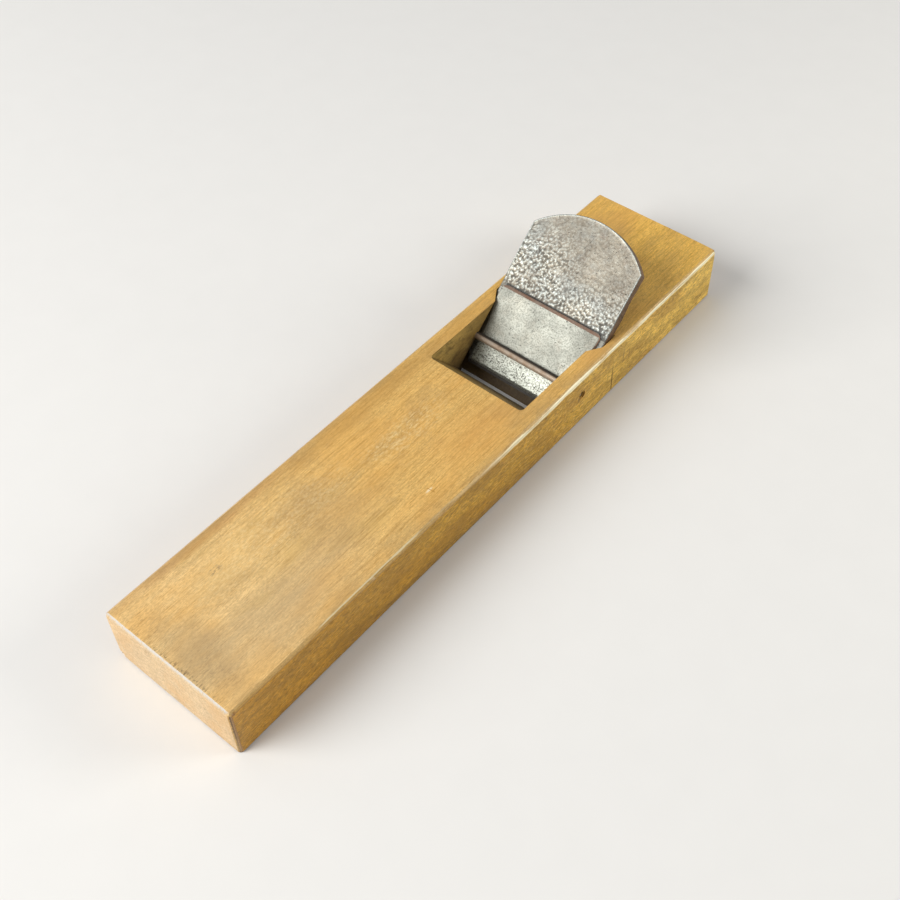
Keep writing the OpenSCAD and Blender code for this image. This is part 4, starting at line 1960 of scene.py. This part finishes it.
    def hammer(self, points: np.ndarray) -> np.ndarray:
        """Gives the depth of the hammer marks on the front of the blade.

        Args:
            points: Corners of the mesh, in the blade's frame.

        Returns:
            The depth at each corner, 0 on the ground steel.
        """
        fine = np.abs(ripple(flattened(points), (1.1, 1.3, 1.0), 5.1))
        dishes = 0.5 + 0.5 * ripple(flattened(points), (9, 12, 1.0), 8.8)
        depth = (1 - self.lumps(points)) * self.beaten(points) * 1.5
        return self.hammer_depth * (depth + (dishes * 0.45 + fine * 0.25) * self.forged(points))

    def front(self, points: np.ndarray) -> np.ndarray:
        """Works out the flat face, with its facets, hollow and marks.

        Args:
            points: Corners of the mesh, in the blade's frame.

        Returns:
            The height at each corner.
        """
        facets = self.facets(points)
        rim = self.rim_distance(points)
        marks = self.hammer(points) * (1 - 0.6 * between(facets, 0.0, 0.15))
        lip = self.rim_lip * between(rim, 0.5, 1.5)
        lip *= between(points[:, 1], self.rim_start, self.rim_start + 8.0)
        marks = (marks + lip) * (0.3 + 0.7 * between(rim, 0.2, 1.2))
        return -(facets + self.hollow(points) + marks + round_over(rim, self.rim_radius))

    def back(self, points: np.ndarray) -> np.ndarray:
        """Works out the forged back, with its bevel and its head.

        Args:
            points: Corners of the mesh, in the blade's frame.

        Returns:
            The height at each corner.
        """
        y = points[:, 1]
        bevel = y * slope(PLANE.blade_bevel_angle)
        past_head = np.maximum(y - (PLANE.blade_length - PLANE.head_chamfer), 0)
        dishes = 0.5 + 0.5 * ripple(points, (5, 7, 1.0), 14.2)
        pebbles = np.abs(ripple(points, (1.1, 1.4, 1.0), 31.9))
        marks = (0.16 * dishes + 0.10 * pebbles) * between(y, 12, 16)
        growth = self.head_rounding - self.back_rounding
        radius = self.back_rounding + growth * between(y, 56, 70)
        rounded = round_over(self.rim_distance(points), radius) * between(y, 10, 14)
        full = self.back_at(y) - past_head - marks - rounded
        return -np.maximum(np.minimum(bevel, full), 0.02)


@dataclass
class Chipbreaker(Plate):
    """The thin plate with bent ears that wedges under the pin."""

    metals: tuple[tuple[Piece, MetalFinish], ...] = (
        (Piece("chipbreaker_of_iron", "chipbreaker_iron", "chipbreaker", "chipbreaker_iron"),
         SPECKLED_IRON),
        (Piece("chipbreaker_edge_of_steel", "chipbreaker_steel", "chipbreaker", "blade_steel"),
         GROUND_STEEL),
    )
    edge_finish: MetalFinish = RUSTED_EDGE
    cell: float = 0.7
    rim: tuple[float, ...] = (0.0, 0.06, 0.15, 0.3)
    rim_radius: float = 0.3
    rusty_chamfer: float = 1.7
    closest_rows: float = 0.03
    chamfer_tilt: float = 0.3
    side_tilt: float = 0.7
    edge_margin: float = 0.2

    def steel_zone(self) -> tuple[Point, Point]:
        """Gives the two corners of the block within which the chipbreaker is steel."""
        return ((-REACH, -REACH, -OVERRUN),
                (REACH, PLANE.breaker_steel_length, PLANE.breaker_steel_thickness))

    def place(self) -> Matrix:
        """Gives the chipbreaker's frame."""
        return PLANE.breaker_place()

    def is_edge(self, face: bpy.types.MeshPolygon) -> bool:
        """Says whether a face is on a side or on the rusty chamfer.

        Args:
            face: A face of the chipbreaker, in its own frame.

        Returns:
            True for such a face.
        """
        into = PLANE.breaker_length - face.center.y
        near_top = into < self.rusty_chamfer + self.edge_margin
        on_chamfer = near_top and face.normal.y > self.chamfer_tilt
        return on_chamfer or abs(face.normal.x) > self.side_tilt

    @staticmethod
    def half_at(place: np.ndarray) -> np.ndarray:
        """Works out half the width of the chipbreaker.

        Args:
            place: Heights above its edge.

        Returns:
            Half the width at each of them.
        """
        waist = PLANE.throat_half - PLANE.waist_gap
        full = PLANE.breaker_half
        half = np.interp(place, [0, PLANE.breaker_waist_height, PLANE.breaker_shoulder,
                                 PLANE.breaker_length],
                         [waist - PLANE.breaker_edge_inset, waist, full, full])
        return half - round_over(PLANE.breaker_length - place, PLANE.breaker_corner_radius)

    @staticmethod
    def front_at(place: np.ndarray) -> np.ndarray:
        """Works out the thickness of the chipbreaker.

        Args:
            place: Heights above its edge.

        Returns:
            The thickness at each of them.
        """
        taper = slope(PLANE.breaker_taper)
        edge = PLANE.breaker_edge_thickness
        past_bevel = PLANE.breaker_thickness + PLANE.breaker_bevel_length * taper
        bevel = edge + place * (past_bevel - edge) / PLANE.breaker_bevel_length
        return np.minimum(PLANE.breaker_thickness + place * taper, bevel)

    def forge(self) -> bpy.types.Object:
        """Forges the whole plate in its own frame.

        Returns:
            The plate, with marks of where it is darkened by a painted shadow of the pin, and
            brightened as painted light below the pin.
        """
        length = PLANE.breaker_length
        columns = crowded(2.0 * PLANE.breaker_half, self.cell, self.rim) / PLANE.breaker_half - 1
        corner = length - PLANE.breaker_corner_radius * (
            1 - np.sin(np.linspace(0, math.pi / 2, 8)))
        rows = np.unique(np.concatenate([
            crowded(length, self.cell, self.rim), corner,
            [length - self.rusty_chamfer, PLANE.breaker_bevel_length,
             PLANE.breaker_waist_height, PLANE.breaker_shoulder]]))
        rows = rows[np.concatenate([[True], np.diff(rows) > self.closest_rows])]
        slab = add_sheet("chipbreaker", columns, rows / length)
        points = points_of(slab)
        front = points[:, 2] > 0.5
        points[:, 1] *= length
        share = points[:, 0].copy()
        half = self.half_at(points[:, 1])
        points[:, 0] = share * half
        into = length - points[:, 1]
        height = self.front_at(points[:, 1]) - self.ear_drop(points)
        rounded = round_over(np.minimum((1 - np.abs(share)) * half, into), self.rim_radius)
        rounded += np.maximum(self.rusty_chamfer - into, 0)
        wave = 0.05 * (0.5 + 0.5 * ripple(points, (7, 9, 1.0), 17.7))
        wear = 0.03 * np.abs(ripple(points, (1.6, 1.6, 1.0), 2.2))
        marks = (wave + wear) * between(points[:, 1], 1.6, 3.0)
        points[:, 2] = np.where(front, height - rounded - marks, 0.0)
        put_points(slab, points)
        pin_low, pin_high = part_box("pressure_pin")
        under = self.place().inverted() @ ((pin_low + pin_high) / 2 / METRES)
        # A dark line just above the pin is a painted shadow of the pin, with some grime where it
        # bears; below the pin the plate is brightened as painted light.
        line = 1 - between(np.abs(points[:, 1] - under.y - 1.4), 0.2, 0.9)
        keep_mark(slab, "dirt_and_painted_shade", line * front)
        keep_mark(slab, "bright_wear_and_painted_light", between(under.y - points[:, 1], 0.0, 5.0) * front * 0.8)
        carve(slab, self.relief())
        return slab

    @staticmethod
    def ear_drop(points: np.ndarray) -> np.ndarray:
        """Works out how far the tips of the ears are bent back from the front.

        Args:
            points: Corners of the mesh, in the chipbreaker's frame.

        Returns:
            The drop at each corner.
        """
        fold = PLANE.breaker_ear / math.sqrt(2)
        past = ((np.abs(points[:, 0]) - (PLANE.breaker_half - PLANE.breaker_ear / 2))
                + (points[:, 1] - PLANE.breaker_shoulder)) / math.sqrt(2)
        return np.maximum(past, 0) * PLANE.breaker_ear_bend / fold

    @staticmethod
    def relief() -> bpy.types.Object:
        """Makes the mesh that relieves the back between the land and the ears.

        Returns:
            The mesh.
        """
        half = PLANE.breaker_half + OVERRUN
        top = PLANE.breaker_length + OVERRUN
        tool = add_block("relief", (-half, PLANE.breaker_land, -OVERRUN),
                         (half, top, PLANE.breaker_relief))
        for side in (-1, 1):
            slice_off(tool, (side * half, top - PLANE.breaker_ear - OVERRUN, 0), (side, 1, 0))
        return tool


@dataclass
class PressurePin(Piece):
    """The steel rod across the throat, driven into both cheeks."""

    name: str = "rod_of_steel"
    node: str = "pressure_pin"
    body: str = "body"
    slot: str = "pin_steel"
    softness: float = 0.35
    waver: float = 0.05

    def build(self) -> bpy.types.Object:
        """Models the pin.

        Returns:
            The pin, in its place.
        """
        low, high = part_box(self.node)
        middle = (low + high) / 2 / METRES
        length = (high.x - low.x) / METRES
        rod = add_rod("pin", tuple(middle), PLANE.pin_diameter / 2, length, sides=72)
        soften(rod, self.softness, lambda a, b: abs(a.x - b.x) < NEAR)
        score(rod, 0, np.arange(-length / 2 + 1.5, length / 2 - 1, 1.0).tolist())
        points = points_of(rod)
        centre = np.array(middle)
        away = points[:, 1:] - centre[1:]
        inside = between(PLANE.throat_half - np.abs(points[:, 0]), -1.0, 3.0)
        rub = self.waver * np.abs(ripple(points, (5, 1.4, 1.4), 6.6)) * inside
        points[:, 1:] = centre[1:] + away * (1 - rub / (PLANE.pin_diameter / 2))[:, None]
        put_points(rod, points)
        give_finishes(rod, PIN_PATINA)
        lay_down(rod, Matrix.Identity(4))
        smooth(rod, CREASE)
        return self.settle(rod)


# The room


@dataclass(frozen=True)
class Softbox:
    """A large soft lamp: where it stands, its size, its strength and its colour."""

    name: str
    place: Point
    size: float
    power: float
    colour: Colour

    def hang(self) -> None:
        """Adds the lamp and turns it towards the plane."""
        light = bpy.data.lights.new(self.name, "AREA")
        light.shape = "DISK"
        light.size = self.size
        light.energy = self.power
        light.color = self.colour
        lamp = bpy.data.objects.new(self.name, light)
        bpy.context.scene.collection.objects.link(lamp)
        lamp.location = self.place
        lamp.rotation_euler = (-Vector(self.place)).to_track_quat("-Z", "Y").to_euler()


@dataclass
class Studio:
    """The pale floor, the soft light and the camera."""

    floor_half: float = 3.0
    floor_colour: Colour = (0.80, 0.79, 0.775)
    sky_colour: Colour = (0.93, 0.96, 1.0)
    sky_strength: float = 0.315
    camera_place: Point = (0.27544, -0.31028, 0.49584)
    camera_ahead: Point = (-0.42580126, 0.48277066, -0.7652619)
    camera_right: Point = (0.76594184, 0.64257305, -0.02080803)
    lens: float = 50.016
    sensor: float = 36.0
    nearest: float = 0.01
    lamps: tuple[Softbox, ...] = (
        Softbox("key", (-0.98, -1.74, 1.32), 1.8, 70.0, (1.0, 0.985, 0.95)),
        Softbox("overhead", (-0.50, 0.10, 1.8), 1.4, 1.8, (1.0, 0.99, 0.97)),
        Softbox("window", (0.95, 0.80, 0.55), 0.6, 7.5, (1.0, 0.97, 0.88)),
    )

    def build(self) -> None:
        """Sets up the room."""
        self.lay_floor()
        self.fill_sky()
        for lamp in self.lamps:
            lamp.hang()
        self.place_camera()
        bpy.context.scene.view_settings.view_transform = "Standard"

    def lay_floor(self) -> None:
        """Lays the pale floor that the plane stands on."""
        deselect_all()
        bpy.ops.mesh.primitive_plane_add(size=2 * self.floor_half)
        floor = name_primitive("floor")
        graph = Graph("pale_floor")
        grain = graph.noise((0.05, 0.05, 0.05), (0, 0, 0), 3.0)
        pale = graph.blend(grain, self.floor_colour, tinted(self.floor_colour, (0.97,) * 3))
        floor.data.materials.append(graph.finish(Base_Color=pale, Roughness=0.75,
                                                 Specular_IOR_Level=0.2))

    def fill_sky(self) -> None:
        """Fills the room with soft light from all round."""
        world = bpy.data.worlds.new("soft_room")
        world.use_nodes = True
        background = world.node_tree.nodes["Background"]
        background.inputs["Color"].default_value = (*self.sky_colour, 1)
        background.inputs["Strength"].default_value = self.sky_strength
        bpy.context.scene.world = world

    def place_camera(self) -> None:
        """Sets up the camera where the photograph was taken from."""
        ahead = Vector(self.camera_ahead).normalized()
        right = Vector(self.camera_right).normalized()
        up = right.cross(ahead)
        lens = bpy.data.cameras.new("camera")
        lens.lens = self.lens
        lens.sensor_width = self.sensor
        lens.clip_start = self.nearest
        camera = bpy.data.objects.new("camera", lens)
        bpy.context.scene.collection.objects.link(camera)
        turn = Matrix((right, up, -ahead)).transposed().to_4x4()
        camera.matrix_world = Matrix.Translation(self.camera_place) @ turn
        bpy.context.scene.camera = camera


def main() -> None:
    """Builds the room and every piece of the plane."""
    logging.basicConfig(level=logging.INFO, format="%(message)s")
    Studio().build()
    OakBody().build()
    PressurePin().build()
    Blade().build()
    Chipbreaker().build()
    deselect_all()


if __name__ == "__main__":
    main()
